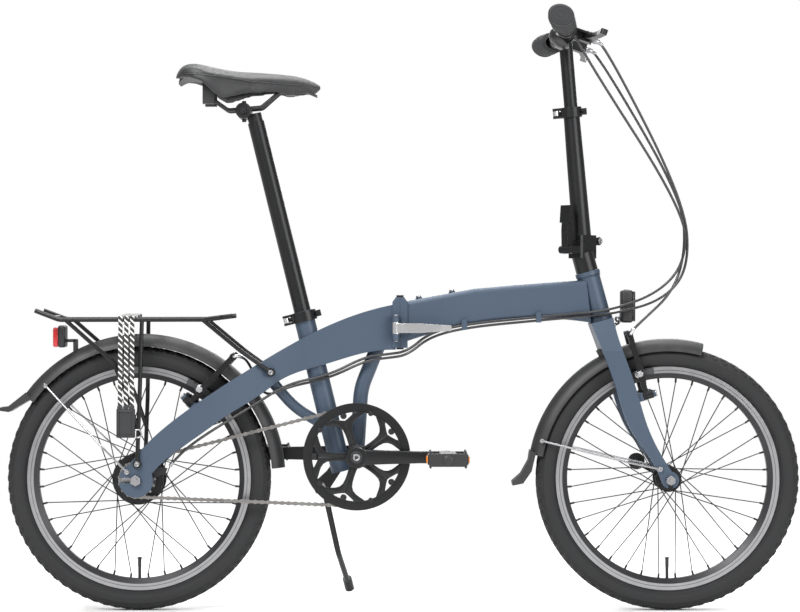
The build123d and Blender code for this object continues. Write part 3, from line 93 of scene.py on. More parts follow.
def place(origin, z_dir, x_dir=None):
    """Matrix of a local frame: z along z_dir, x as near to x_dir as it can be."""
    z = Vector(z_dir).normalized()
    x = Vector(x_dir) if x_dir is not None else (Vector((1, 0, 0)) if abs(z.x) < 0.9 else Vector((0, 1, 0)))
    x = (x - z * x.dot(z)).normalized()
    y = z.cross(x)
    m = Matrix((x, y, z)).transposed().to_4x4()
    m.translation = origin
    return m


def wheel_frame(x, y=0.0):
    """Local z is the axle, towards the left; local x is forwards."""
    return place((x, y, AXLE_Z), (0, 1, 0), (1, 0, 0))


def lever_frame(s):
    p = bar(s * 0.100) + LEVER_F * 0.042
    return place(p, LEVER_A, LEVER_F)


def boss_frame(x, z, up, forward):
    """Brake boss: local x up the arm, z along the stud, y to the left or the right."""
    n = Vector((up[1], 0, -up[0])) * forward
    return place((x, 0, z), n, (up[0], 0, up[1]))


FRONT_BOSS = boss_frame(0.463, 0.408, (-0.256, 0.967), 1)
REAR_BOSS = boss_frame(-0.395, 0.394, (0.683, 0.731), -1)


# ------------------------------ modelling by hand ------------------------------
def clear():
    if bpy.context.mode != "OBJECT":
        bpy.ops.object.mode_set(mode="OBJECT")
    bpy.ops.object.select_all(action="DESELECT")


def pick(obj):
    clear()
    obj.select_set(True)
    bpy.context.view_layer.objects.active = obj
    return obj


def apply_place(obj):
    pick(obj)
    bpy.ops.object.transform_apply(location=True, rotation=True, scale=True)
    return obj


def edit(obj, test=None, kind="face"):
    """Edit mode with everything selected, or only the faces or edges that pass the test."""
    pick(obj)
    mesh = obj.data
    if test is not None:
        for group in (mesh.vertices, mesh.edges, mesh.polygons):
            group.foreach_set("select", [False] * len(group))
        for item in (mesh.polygons if kind == "face" else mesh.edges if kind == "edge" else mesh.vertices):
            item.select = bool(test(item))
    bpy.ops.object.mode_set(mode="EDIT")
    bpy.ops.mesh.select_mode(type={"face": "FACE", "edge": "EDGE", "vert": "VERT"}[kind])
    if test is None:
        bpy.ops.mesh.select_all(action="SELECT")


def done():
    bpy.ops.object.mode_set(mode="OBJECT")
    return bpy.context.object


def modifier(obj, kind, **settings):
    pick(obj)
    m = obj.modifiers.new(kind.title(), kind)
    for key, value in settings.items():
        setattr(m, key, value)
    bpy.ops.object.modifier_apply(modifier=m.name)
    return obj


def bevel(obj, width, segments=2, angle=32):
    if width:
        modifier(obj, "BEVEL", width=width, segments=segments, limit_method="ANGLE", angle_limit=radians(angle))
    return obj


def trace(points, closed):
    """An outline drawn by extruding one vertex from point to point."""
    clear()
    points = [Vector(p) for p in points]
    bpy.ops.mesh.primitive_plane_add(size=0.001, location=points[0])
    obj = apply_place(bpy.context.object)
    edit(obj, None, "vert")
    bpy.ops.mesh.merge(type="CENTER")
    for a, b in zip(points, points[1:]):
        bpy.ops.mesh.extrude_region_move(TRANSFORM_OT_translate={"value": tuple(b - a)})
    if closed:
        bpy.ops.mesh.select_all(action="SELECT")
        bpy.ops.mesh.edge_face_add()
    return obj


def lathe(section, steps=48, closed=False):
    """A section of (radius, height) spun about local z; a radius of 0 closes on the axis."""
    pts = [(r, 0, h) for r, h in section]
    trace(pts + pts[:1] if closed else pts, False)
    bpy.ops.mesh.select_all(action="SELECT")
    bpy.ops.mesh.spin(steps=steps, angle=2 * pi, center=(0, 0, 0), axis=(0, 0, 1))
    bpy.ops.mesh.select_all(action="SELECT")
    bpy.ops.mesh.remove_doubles(threshold=2e-6)
    bpy.ops.mesh.normals_make_consistent(inside=False)
    return done()


def prism(outline, z0, z1, width=0.0, segments=2):
    """A flat outline of (x, y) carried from z0 to z1, with its edges rounded."""
    trace([(x, y, z0) for x, y in outline], True)
    bpy.ops.mesh.select_all(action="SELECT")
    bpy.ops.mesh.extrude_region_move(TRANSFORM_OT_translate={"value": (0, 0, z1 - z0)})
    bpy.ops.mesh.select_all(action="SELECT")
    bpy.ops.mesh.normals_make_consistent(inside=False)
    return bevel(done(), width, segments)


def block(size, centre, width=0.001, segments=2):
    """A box with rounded edges."""
    clear()
    bpy.ops.mesh.primitive_cube_add(size=1, location=centre, scale=size)
    return bevel(apply_place(bpy.context.object), width, segments)


def drum(r, z0, z1, sides=32, width=0.0, segments=2):
    clear()
    bpy.ops.mesh.primitive_cylinder_add(vertices=sides, radius=r, depth=z1 - z0, location=(0, 0, (z0 + z1) / 2))
    return bevel(apply_place(bpy.context.object), width, segments)


def socket_bolt(r, h, sides=24):
    """Round head with a hex socket sunk into it, standing on z = 0."""
    obj = drum(r, 0, h, sides)
    edit(obj, lambda f: f.normal.z > 0.9)
    bpy.ops.mesh.inset(thickness=0.42 * r)
    bpy.ops.mesh.extrude_region_move(TRANSFORM_OT_translate={"value": (0, 0, -0.55 * h)})
    done()
    return bevel(obj, 0.1 * r, 2, 50)


def hex_nut(r, h, bore=0.5):
    """Six-sided nut with a threaded end standing out of it."""
    obj = drum(r, 0, h, 6, 0.09 * r, 1)
    edit(obj, lambda f: f.normal.z > 0.99 and f.area > r * r)
    bpy.ops.mesh.inset(thickness=(1 - bore) * r * 0.8)
    bpy.ops.mesh.extrude_region_move(TRANSFORM_OT_translate={"value": (0, 0, 0.35 * h)})
    return done()


def copied(obj, matrix):
    new = bpy.data.objects.new(obj.name, obj.data.copy())
    bpy.context.scene.collection.objects.link(new)
    new.data.transform(matrix)
    return new


def moved(obj, matrix):
    obj.data.transform(matrix)
    if matrix.determinant() < 0:
        obj.data.flip_normals()
    return obj


def mirrored(obj):
    """A second one on the other side of the bicycle."""
    new = copied(obj, Matrix.Diagonal((1, -1, 1, 1)))
    new.data.flip_normals()
    return new


def arrayed(obj, matrices):
    """One copy for each matrix; the pattern itself is removed."""
    out = [copied(obj, m) for m in matrices]
    bpy.data.objects.remove(obj, do_unlink=True)
    return out


def spread(n, axis="Z", start=0.0):
    return [Matrix.Rotation(start + 2 * pi * k / n, 4, axis) for k in range(n)]


def gather(parts, name):
    clear()
    for p in parts:
        p.select_set(True)
    bpy.context.view_layer.objects.active = parts[0]
    if len(parts) > 1:
        bpy.ops.object.join()
    obj = bpy.context.object
    obj.name = obj.data.name = name
    return obj


def complete(obj, name, finish, body, smooth=35):
    """Name, finish and body of a piece that is ready in its place."""
    obj.name = obj.data.name = name
    if finish is not None:
        obj.data.materials.clear()
        obj.data.materials.append(finish)
    pick(obj)
    bpy.ops.object.shade_smooth_by_angle(angle=radians(smooth))
    clear()
    if body:
        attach(obj, body)
    return obj


def line_of(points, order=3):
    """Points read from a smooth line that is led by the route's points."""
    curve = bpy.data.curves.new("line", "CURVE")
    curve.dimensions, curve.resolution_u = "3D", 10
    spline = curve.splines.new("NURBS")
    spline.points.add(len(points) - 1)
    for p, q in zip(spline.points, points):
        p.co = (*q, 1)
    spline.order_u, spline.use_endpoint_u = order, True
    obj = bpy.data.objects.new("line", curve)
    bpy.context.scene.collection.objects.link(obj)
    mesh = bpy.data.meshes.new_from_object(obj)
    out = [v.co.copy() for v in mesh.vertices]
    bpy.data.objects.remove(obj, do_unlink=True)
    bpy.data.meshes.remove(mesh)
    return out


def tube(line, r, sides=12, caps=True):
    """Tube along a line of points; r is a radius or a function of the distance along it."""
    size = r if callable(r) else (lambda d: r)
    verts, faces, dist = [], [], 0.0
    ahead = [(b - a).normalized() for a, b in zip(line, line[1:])]
    up = Vector((0, 0, 1)) if abs(ahead[0].z) < 0.9 else Vector((1, 0, 0))
    for i, p in enumerate(line):
        t = (ahead[max(i - 1, 0)] + ahead[min(i, len(ahead) - 1)]).normalized()
        up = (up - t * up.dot(t)).normalized()
        w = t.cross(up)
        dist += (p - line[i - 1]).length if i else 0.0
        for k in range(sides):
            a = 2 * pi * k / sides
            verts.append(p + (up * cos(a) + w * sin(a)) * size(dist))
    for i in range(len(line) - 1):
        for k in range(sides):
            n = (k + 1) % sides
            faces.append((i * sides + k, i * sides + n, (i + 1) * sides + n, (i + 1) * sides + k))
    if caps:
        faces += [tuple(range(sides))[::-1], tuple(range((len(line) - 1) * sides, len(line) * sides))]
    mesh = bpy.data.meshes.new("tube")
    mesh.from_pydata([tuple(v) for v in verts], [], faces)
    obj = bpy.data.objects.new("tube", mesh)
    bpy.context.scene.collection.objects.link(obj)
    return obj


# ------------------------------- shader building -------------------------------
class Value:
    """A node's output that can be used in an expression."""

    def __init__(self, finish, socket):
        self.finish, self.socket = finish, socket

    def _math(self, operation, *values):
        return self.finish.node("Math", {"operation": operation}, dict(enumerate(values)))

    def __add__(self, other):
        return self._math("ADD", self, other)

    def __sub__(self, other):
        return self._math("SUBTRACT", self, other)

    def __rsub__(self, other):
        return self._math("SUBTRACT", other, self)

    def __mul__(self, other):
        return self._math("MULTIPLY", self, other)

    def __truediv__(self, other):
        return self._math("DIVIDE", self, other)

    def __gt__(self, other):
        return self._math("GREATER_THAN", self, other)

    def __lt__(self, other):
        return self._math("LESS_THAN", self, other)

    __radd__, __rmul__ = __add__, __mul__

    def abs(self):
        return self._math("ABSOLUTE", self)

    def sin(self):
        return self._math("SINE", self)

    def frac(self):
        return self._math("FRACT", self)

    def root(self):
        return self._math("SQRT", self)

    def most(self, other):
        return self._math("MAXIMUM", self, other)

    def step(self, low, high):
        """0 below low, 1 above high, smooth between them."""
        return self.finish.node("MapRange", {"interpolation_type": "SMOOTHSTEP"}, {0: self, 1: low, 2: high})


class Finish:
    """A material with one Principled shader, whose nodes are added as expressions are written."""

    def __init__(self, name):
        self.material = bpy.data.materials.new(name)
        self.material.use_nodes = True
        self.tree = self.material.node_tree
        self.shader = self.tree.nodes["Principled BSDF"]
        self.place = self.node("TexCoord", {}, {}, "Object")

    def node(self, kind, settings, inputs, output=0):
        """Adds a node: settings come first, then the values or links of its sockets."""
        node = self.tree.nodes.new("ShaderNode" + kind)
        for key, value in settings.items():
            if key == "stops":
                ramp = node.color_ramp
                while len(ramp.elements) < len(value):
                    ramp.elements.new(0.5)
                for stop, (at, colour) in zip(ramp.elements, value):
                    stop.position, stop.color = at, (*colour, 1)
            else:
                setattr(node, key, value)
        for key, value in inputs.items():
            self.put(node.inputs[key], value)
        return Value(self, node.outputs[output])

    def put(self, socket, value):
        if isinstance(value, Value):
            self.tree.links.new(value.socket, socket)
        elif socket.type == "RGBA" and len(value) == 3:
            socket.default_value = (*value, 1)
        else:
            socket.default_value = value

    def set(self, **values):
        for key, value in values.items():
            self.put(self.shader.inputs[key.replace("_", " ")], value)
        return self

    def noise(self, scale, detail=4.0, rough=0.55, at=None):
        return self.node("TexNoise", {}, {"Vector": at or self.place, "Scale": scale, "Detail": detail,
                                          "Roughness": rough})

    def mix(self, factor, a, b):
        """Colour a where factor is 0, colour b where it is 1."""
        return self.node("Mix", {"data_type": "RGBA"}, {0: factor, 6: a, 7: b}, 2)

    def stretched(self, scale, centre=(0, 0, 0), turn=(0, 0, 0)):
        """Object coordinates about a centre, turned and stretched."""
        back = -(Matrix.Diagonal(scale) @ Euler(turn).to_matrix() @ Vector(centre))
        return self.node("Mapping", {}, {0: self.place, 1: tuple(back), 2: turn, 3: scale})

    def axes(self, at=None):
        sep = self.node("SeparateXYZ", {}, {0: at or self.place})
        outs = sep.socket.node.outputs
        return [Value(self, outs[i]) for i in range(3)]

    def soft_edge(self, radius=0.0008):
        """Normal with its edges rounded, and a mask that is 1 along outer edges."""
        soft = self.node("Bevel", {"samples": 3}, {"Radius": radius})
        flat = self.node("NewGeometry", {}, {}, "Normal")
        dot = self.node("VectorMath", {"operation": "DOT_PRODUCT"}, {0: soft, 1: flat}, "Value")
        return soft, (1 - dot).step(0.02, 0.16)

    def bump(self, height, distance, strength=1.0, normal=None):
        inputs = {"Height": height, "Distance": distance, "Strength": strength}
        if normal is not None:
            inputs["Normal"] = normal
        self.set(Normal=self.node("Bump", {}, inputs))
        return self


def shade(colour, by):
    return tuple(min(1.0, c * by) for c in colour)


def worn(name, colour, rough, metal=0.0, wear=None, grain=900.0, depth=0.00004, spread_of=0.12, coat=0.0, edge=0.0008,
         dust=0.0):
    """Painted, anodised or moulded surface: soft colour variation, fine grain, rounded and worn edges."""
    f = Finish(name)
    soft, rim = f.soft_edge(edge)
    cloud = f.noise(9.0, 5.0)
    fleck = f.noise(grain, 3.0)
    tone = f.mix(cloud, shade(colour, 1 - spread_of), shade(colour, 1 + spread_of))
    scuffs = f.noise(60.0, 6.0, 0.7).step(0.5, 0.72)
    edges = rim * (0.35 + scuffs * 0.65)
    if wear is not None:
        tone = f.mix(edges * 0.75, tone, wear)
    if dust:
        tone = f.mix(f.noise(22.0, 8.0, 0.7).step(0.48, 0.78) * dust, tone, (0.16, 0.15, 0.135))
    f.set(Base_Color=tone, Metallic=metal, Roughness=rough + (cloud - 0.5) * 0.14 + (fleck - 0.5) * 0.1 - edges * 0.1)
    f.set(Coat_Weight=coat, Coat_Roughness=0.22)
    f.bump(fleck + cloud * 0.4, depth, 0.5, soft)
    return f


def brushed(name, colour, rough, along=(1, 1, 40), depth=0.00002, metal=1.0, dark=0.35):
    """Bare metal with fine drawn lines, darker in its worn hollows."""
    f = Finish(name)
    soft, rim = f.soft_edge(0.0005)
    lines = f.noise(70.0, 8.0, 0.7, f.stretched(along))
    stain = f.noise(28.0, 6.0).step(0.42, 0.75)
    tone = f.mix(stain * dark, colour, shade(colour, 0.55))
    f.set(Base_Color=f.mix(rim * 0.4, tone, shade(colour, 1.25)), Metallic=metal,
          Roughness=rough + (lines - 0.5) * 0.16 + stain * 0.12)
    f.bump(lines, depth, 0.4, soft)
    return f


def frame_paint(colour, black):
    """Matte blue-grey over the frame, with the stand's bracket left black."""
    f = worn("frame_paint", colour, 0.52, 0.25, shade(colour, 1.5), 1400.0, 0.00003, 0.05, 0.12, 0.0012)
    x, y, z = f.axes()
    bracket = (z < 0.3005) * (z > 0.212) * (x < -0.0835) * (x > -0.175) * (y > 0.0195) * (y < 0.055)
    base = f.shader.inputs["Base Color"].links[0].from_socket
    f.set(Base_Color=f.mix(bracket, Value(f, base), black))
    return f


def rim_metal(name, x0):
    """Black rim whose brake tracks are turned bright, with fine rings and a thin dark ring of painted groove shade."""
    f = Finish(name)
    soft, rim = f.soft_edge(0.0005)
    x, y, z = f.axes()
    dx, dz = x - x0, z - AXLE_Z
    r = (dx * dx + dz * dz).root()
    track = r.step(0.1995, 0.2003) * (y.abs() > 0.0121)
    rings = (r * 9000.0).sin()
    worn_track = f.noise(40.0, 6.0, 0.7)
    # A thin dark ring on the brake track is painted shade standing for its groove; no groove is cut.
    painted_groove_shade = r.step(0.2046, 0.2048) * (1 - r.step(0.2054, 0.2056))
    bright = f.mix(painted_groove_shade, f.mix(worn_track, (0.28, 0.28, 0.29), (0.42, 0.42, 0.43)), (0.03, 0.03, 0.032))
    f.set(Base_Color=f.mix(track, (0.018, 0.018, 0.02), bright), Metallic=0.2 + track * 0.8,
          Roughness=0.36 + (worn_track - 0.5) * 0.16 - track * 0.06)
    f.bump(rings * track + f.noise(800.0) * 0.3, 0.00002, 0.5, soft)
    return f


def tyre_rubber(name, x0):
    """Grey-black rubber, dusty where it rolls, with fine rings on the sidewall."""
    f = Finish(name)
    x, y, z = f.axes()
    dx, dz = x - x0, z - AXLE_Z
    r = (dx * dx + dz * dz).root()
    dust = f.noise(16.0, 8.0, 0.7).step(0.4, 0.75)
    tread = r.step(0.2455, 0.2485)
    tone = f.mix(f.noise(7.0), (0.010, 0.0103, 0.0112), (0.018, 0.0184, 0.0195))
    tone = f.mix(dust * (0.10 + tread * 0.30), tone, (0.075, 0.071, 0.066))
    cords = (r * 2600.0).sin() * (1 - tread) * 0.35
    f.set(Base_Color=tone, Roughness=0.72 + dust * 0.15, Specular_IOR_Level=0.35)
    f.bump(f.noise(1300.0, 3.0) + cords, 0.00006, 0.55)
    return f


def vinyl(name, colour):
    """Saddle cover: fine leather grain with soft creases."""
    f = Finish(name)
    cells = f.node("TexVoronoi", {"feature": "DISTANCE_TO_EDGE"}, {"Vector": f.place, "Scale": 620.0})
    crease = f.noise(55.0, 6.0, 0.6)
    cloud = f.noise(14.0, 5.0)
    f.set(Base_Color=f.mix(cloud, shade(colour, 0.75), shade(colour, 1.35)),
          Roughness=0.46 + (crease - 0.5) * 0.22 + (cloud - 0.5) * 0.1, Sheen_Weight=0.08)
    f.bump(cells.step(0.0, 0.25) + crease * 0.8, 0.00012, 0.5)
    return f


def soft_rubber(name, colour, rough=0.62):
    f = Finish(name)
    cloud = f.noise(18.0, 6.0, 0.6)
    f.set(Base_Color=f.mix(cloud, shade(colour, 0.8), shade(colour, 1.3)), Roughness=rough + (cloud - 0.5) * 0.15,
          Specular_IOR_Level=0.4)
    f.bump(f.noise(1100.0, 3.0), 0.00006, 0.5)
    return f


def woven_strap(name):
    """Elastic webbing: slanted black and white bars over a fine rib."""
    f = Finish(name)
    x, y, z = f.axes()
    bars = ((x + y + z) * 87.0).frac()
    white = bars.step(0.60, 0.64) * (1 - bars.step(0.94, 0.98))
    rib = ((z + y) * 5200.0).sin()
    fuzz = f.noise(900.0, 4.0)
    f.set(Base_Color=f.mix(white, (0.018, 0.018, 0.02), f.mix(fuzz, (0.5, 0.49, 0.47), (0.7, 0.69, 0.67))),
          Roughness=0.78 + fuzz * 0.1, Sheen_Weight=0.25)
    f.bump(rib * 0.6 + fuzz * 0.6 + (x * 3600.0).sin() * 0.4, 0.00012, 0.7)
    return f


def lens(name, colour, rough, scale):
    """Moulded lens: clear plastic over small facets, each painted lighter at its middle and darker at its edges as
    painted highlight and shade.
    """
    f = Finish(name)
    facet_relief_and_shade = f.node("TexVoronoi", {"feature": "F1", "distance": "CHEBYCHEV"}, {"Vector": f.place, "Scale": scale,
                                                                             "Randomness": 0.0})
    # Colour runs from lighter at each facet's middle to darker at its edges: painted highlight and shade of the
    # facets. The same pattern also drives the roughness and the bump.
    f.set(Base_Color=f.mix(facet_relief_and_shade, shade(colour, 1.25), shade(colour, 0.55)), Roughness=rough + facet_relief_and_shade * 0.08,
          Coat_Weight=0.7, Coat_Roughness=0.05, Specular_IOR_Level=0.6)
    f.bump(facet_relief_and_shade, 0.0006, 0.6)
    return f


def floor_paint():
    """Pale floor that fades into the pale surroundings."""
    f = Finish("floor_pale")
    x, y, z = f.axes()
    far = ((x * x + y * y).root()).step(0.9, 3.2)
    speck = f.noise(3.0, 6.0)
    f.set(Base_Color=f.mix(speck, (0.80, 0.80, 0.80), (0.83, 0.83, 0.83)), Roughness=0.75 + speck * 0.1)
    glow = f.node("Emission", {}, {"Color": (1.0, 1.0, 1.0), "Strength": 1.0})
    surface = Value(f, f.shader.outputs[0])
    mixed = f.node("MixShader", {}, {0: far, 1: surface, 2: glow})
    f.tree.links.new(mixed.socket, f.tree.nodes["Material Output"].inputs[0])
    return f


FINISHES = {}


def finish(name):
    return FINISHES[name].material


# ------------------------------ sizes and colours ------------------------------
class BicycleColours(bpy.types.PropertyGroup):
    """Colours that a rider would choose."""

    frame: bpy.props.FloatVectorProperty(
        name="Frame", description="Paint of the frame and fork", subtype="COLOR", size=3, min=0, max=1,
        default=(0.040, 0.062, 0.095))
    fittings: bpy.props.FloatVectorProperty(
        name="Fittings", description="Satin alloy fittings", subtype="COLOR", size=3, min=0, max=1,
        default=(0.011, 0.0113, 0.0122))
    plastic: bpy.props.FloatVectorProperty(
        name="Plastic", description="Moulded plastic parts", subtype="COLOR", size=3, min=0, max=1,
        default=(0.012, 0.0123, 0.0133))
    saddle: bpy.props.FloatVectorProperty(
        name="Saddle", description="Saddle cover", subtype="COLOR", size=3, min=0, max=1,
        default=(0.010, 0.0103, 0.0113))


class BicycleSizes(bpy.types.PropertyGroup):
    """Sizes of the trim; the frame's own sizes are fixed."""

    tread_blocks: bpy.props.IntProperty(
        name="Tread blocks", description="Tread blocks round each row of a tyre", default=72, min=24, max=120)
    tread_depth: bpy.props.FloatProperty(
        name="Tread depth", description="Height of the tread blocks", default=0.0016, min=0.0005, max=0.003,
        unit="LENGTH")
    cover_swell: bpy.props.FloatProperty(
        name="Cover swell", description="Most that the saddle's padding may swell", default=0.003, min=0.0,
        max=0.006, unit="LENGTH")
    cable_r: bpy.props.FloatProperty(
        name="Cable radius", description="Radius of the cable housings", default=0.0025, min=0.002, max=0.003,
        unit="LENGTH")
    grip_ribs: bpy.props.IntProperty(
        name="Grip ribs", description="Ribs along each hand grip", default=20, min=6, max=30)


def sizes():
    return bpy.context.scene.bicycle_sizes


# -------------------------------- the finishes --------------------------------
CAD_FINISH = {
    "paint": "rear_frame front_frame fork headset_cups",
    "black_metal": "seat_clamp_collar bottom_bracket rear_rack kickstand handlepost_base front_hub_lever "
                   "handlepost post_clamp_collar handlepost_latch_lever inner_post handlebar brake_lever_mounts "
                   "right_brake_lever left_brake_lever front_hub rear_hub chainring right_crank left_crank "
                   "front_brake_left front_brake_right rear_brake_left rear_brake_right seatpost",
    "silver": "seat_clamp_lever frame_latch_lever post_clamp_lever",
    "steel": "rear_mudguard_stays front_axle front_mudguard_stays sprocket",
    "dark_steel": "rear_axle saddle_clamp saddle_rails hinge_pin front_spokes rear_spokes",
    "plastic": "rear_mudguard front_mudguard gear_shifter saddle_base right_pedal left_pedal",
    "front_rim": "front_rim",
    "rear_rim": "rear_rim",
}


class BICYCLE_OT_finishes(bpy.types.Operator):
    """Makes the finishes and puts them on the frame's own parts"""

    bl_idname = "bicycle.finishes"
    bl_label = "Finishes"

    def execute(self, context):
        c = context.scene.bicycle_colours
        black, grey = tuple(c.fittings), tuple(c.plastic)
        made = {
            "paint": frame_paint(tuple(c.frame), black),
            "black_metal": worn("black_metal", black, 0.36, 0.55, (0.10, 0.10, 0.105), 1200.0, 0.00002, 0.15, 0.1),
            "plastic": worn("moulded_plastic", grey, 0.5, 0.0, (0.05, 0.05, 0.052), 700.0, 0.00005, 0.12, 0.0, 0.0006,
                            0.10),
            "silver": brushed("polished_alloy", (0.66, 0.66, 0.67), 0.24, (1, 1, 30)),
            "steel": brushed("bright_steel", (0.36, 0.36, 0.37), 0.28, (1, 1, 30)),
            "dark_steel": brushed("black_steel", (0.035, 0.035, 0.037), 0.34, (30, 1, 1), metal=0.8),
            "chain": brushed("oiled_chain", (0.26, 0.25, 0.24), 0.32, (12, 12, 12), dark=0.9),
            "front_rim": rim_metal("front_rim_metal", FRONT_X),
            "rear_rim": rim_metal("rear_rim_metal", REAR_X),
            "front_tyre": tyre_rubber("front_tyre_rubber", FRONT_X),
            "rear_tyre": tyre_rubber("rear_tyre_rubber", REAR_X),
            "vinyl": vinyl("saddle_vinyl", tuple(c.saddle)),
            "thread": soft_rubber("seam_thread", (0.03, 0.03, 0.032), 0.8),
            "rubber": soft_rubber("grip_rubber", (0.02, 0.0205, 0.022)),
            "pad": soft_rubber("brake_pad", (0.045, 0.046, 0.048), 0.8),
            "housing": worn("cable_cover", (0.013, 0.013, 0.014), 0.3, 0.0, None, 1500.0, 0.00002, 0.1, 0.3, 0.0003),
            "webbing": woven_strap("elastic_webbing"),
            "bell": worn("bell_enamel", (0.012, 0.0122, 0.013), 0.25, 0.3, (0.06, 0.06, 0.06), 1200.0, 0.00001, 0.1,
                         0.5),
            "red": lens("red_lens", (0.42, 0.008, 0.01), 0.16, 190.0),
            "amber": lens("amber_reflector", (0.75, 0.22, 0.015), 0.18, 260.0),
            "clear": lens("clear_lens", (0.62, 0.64, 0.66), 0.08, 150.0),
            "floor": floor_paint(),
        }
        FINISHES.update(made)
        for kind, names in CAD_FINISH.items():
            for name in names.split():
                obj = frame["nodes"][name]
                if not obj.data.materials:
                    obj.data.materials.append(finish(kind))
                for i in range(len(obj.data.materials)):
                    obj.data.materials[i] = finish(kind)
        return {"FINISHED"}


# ---------------------------------- wheels ----------------------------------
def tyre(name, x, body):
    half = [(0.2030, 0.0100), (0.2105, 0.0104), (0.2132, 0.0116), (0.2150, 0.0172), (0.2176, 0.0202),
            (0.2184, 0.0209), (0.2192, 0.0206), (0.2230, 0.0227), (0.2290, 0.0235), (0.2340, 0.0229), (0.2356, 0.0229),
            (0.2364, 0.0219), (0.2410, 0.0191), (0.2446, 0.0146), (0.2470, 0.0100), (0.2482, 0.0050), (0.2484, 0.0)]
    shell = lathe(half + [(r, -h) for r, h in half[-2::-1]], 128, True)
    count, deep = sizes().tread_blocks, sizes().tread_depth
    parts = [shell]
    for h, r, lean, size, turn in ((0.0034, 0.2496, 8, (0.0115, 0.0045), 0.30),
                                   (0.0108, 0.2483, 24, (0.0095, 0.0062), -0.25),
                                   (0.0178, 0.2440, 50, (0.0080, 0.0060), 0.0)):
        for s in (1, -1):
            stud = block((2 * deep, size[0], size[1]), (-deep, 0, 0), 0.0005, 1)
            moved(stud, Matrix.Rotation(s * turn, 4, "X"))
            moved(stud, Matrix.Translation((r - 0.0002, 0, s * h)) @ Matrix.Rotation(radians(-s * lean), 4, "Y"))
            offset = (0.5 if s > 0 else 0.0) * 2 * pi / count
            parts += arrayed(stud, spread(count, "Z", offset + (0.3 * 2 * pi / count if abs(h) > 0.015 else 0)))
    obj = moved(gather(parts, name), wheel_frame(x))
    complete(obj, name, finish(name), body, 40)
    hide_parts(name)


class BICYCLE_OT_tyres(bpy.types.Operator):
    """Adds both tyres: a spun carcass with rows of tread blocks"""

    bl_idname = "bicycle.tyres"
    bl_label = "Tyres"

    def execute(self, context):
        tyre("front_tyre", FRONT_X, "front_wheel")
        tyre("rear_tyre", REAR_X, "rear_wheel")
        return {"FINISHED"}


class BICYCLE_OT_wheel_trim(bpy.types.Operator):
    """Adds the valve caps and hub seals"""

    bl_idname = "bicycle.wheel_trim"
    bl_label = "Wheel Trim"

    def execute(self, context):
        for name, x, body, hub_r, hub_y in (("front", FRONT_X, "front_wheel", 0.0125, 0.0362),
                                            ("rear", REAR_X, "rear_wheel", 0.0200, 0.0500)):
            stem = drum(0.0034, 0, 0.016, 16, 0.0006)
            ring = drum(0.0052, 0.0165, 0.0185, 16, 0.0004)
            valve = gather([stem, ring], "valve")
            edit(valve, lambda f: abs(f.normal.z) < 0.1 and f.center.z < 0.016)
            bpy.ops.mesh.inset(thickness=0.0002, depth=-0.0002, use_individual=True)
            done()
            moved(valve, place((0, 0, 0), (0, -1, 0), (1, 0, 0)))
            moved(valve, Matrix.Translation((0, RIM_IN - 0.0205, 0)))
            moved(valve, wheel_frame(x))
            complete(valve, name + "_valve_cap", finish("plastic"), body)
            seal = lathe([(0.0075, 0.0), (hub_r, 0.0), (hub_r, 0.0012), (hub_r - 0.001, 0.0022), (0.0085, 0.0022),
                          (0.0075, 0.0012)], 40, True)
            pair = [copied(seal, place((x, s * hub_y, AXLE_Z), (0, s, 0), (1, 0, 0))) for s in
                    ((1, -1) if name == "front" else (1,))]
            bpy.data.objects.remove(seal, do_unlink=True)
            complete(gather(pair, "seal"), name + "_hub_seals", finish("rubber"), body)
        return {"FINISHED"}


# --------------------------------- drivetrain ---------------------------------
def pitch_radius(teeth):
    return PITCH / (2 * sin(pi / teeth))


def chain_pins():
    """Centres of the chain's pins in order: round the ring, along the bottom, round the cog, along the top."""
    ring, cog = pitch_radius(RING_TEETH), pitch_radius(COG_TEETH)
    dx, dz = BB.x - REAR_X, BB.z - AXLE_Z
    reach, lean = hypot(dx, dz), atan2(dz, dx)
    tilt = asin((ring - cog) / reach)
    top, low, run = lean + pi / 2 + tilt, lean - pi / 2 - tilt, reach * cos(tilt)

    def on(cx, cz, r, a):
        return Vector((cx + r * cos(a), CHAIN_Y, cz + r * sin(a)))

    def straight(angle, lead, tail):
        a, b = on(BB.x, BB.z, ring, angle), on(REAR_X, AXLE_Z, cog, angle)
        n = round((run - lead - tail) / PITCH)
        return [a.lerp(b, (lead + (run - lead - tail) * k / n) / run) for k in range(n + 1)]

    ring_rest = (pi + 2 * tilt - 50 * pi / RING_TEETH) * ring
    cog_rest = (pi - 2 * tilt - 14 * pi / COG_TEETH) * cog
    pins = [on(BB.x, BB.z, ring, top - k * 2 * pi / RING_TEETH) for k in range(26)]
    pins += straight(low, PITCH - ring_rest, PITCH - cog_rest)
    pins += [on(REAR_X, AXLE_Z, cog, top + k * 2 * pi / COG_TEETH) for k in range(7, -1, -1)]
    return pins + straight(top, PITCH, PITCH)[::-1]


def plate(length, wide, waist):
    """Outline of a chain plate from the first pin at (0, 0) to the second at (length, 0)."""
    ends = [(length + wide * cos(a), wide * sin(a)) for a in (radians(d) for d in (-65, -20, 20, 65))]
    return [(length / 2, -waist), *ends, (length / 2, waist)] + [(length - x, y) for x, y in
                                                                   [(length + wide * cos(a), wide * sin(a)) for a in
                                                                    (radians(d) for d in (65, 20, -20, -65))]]


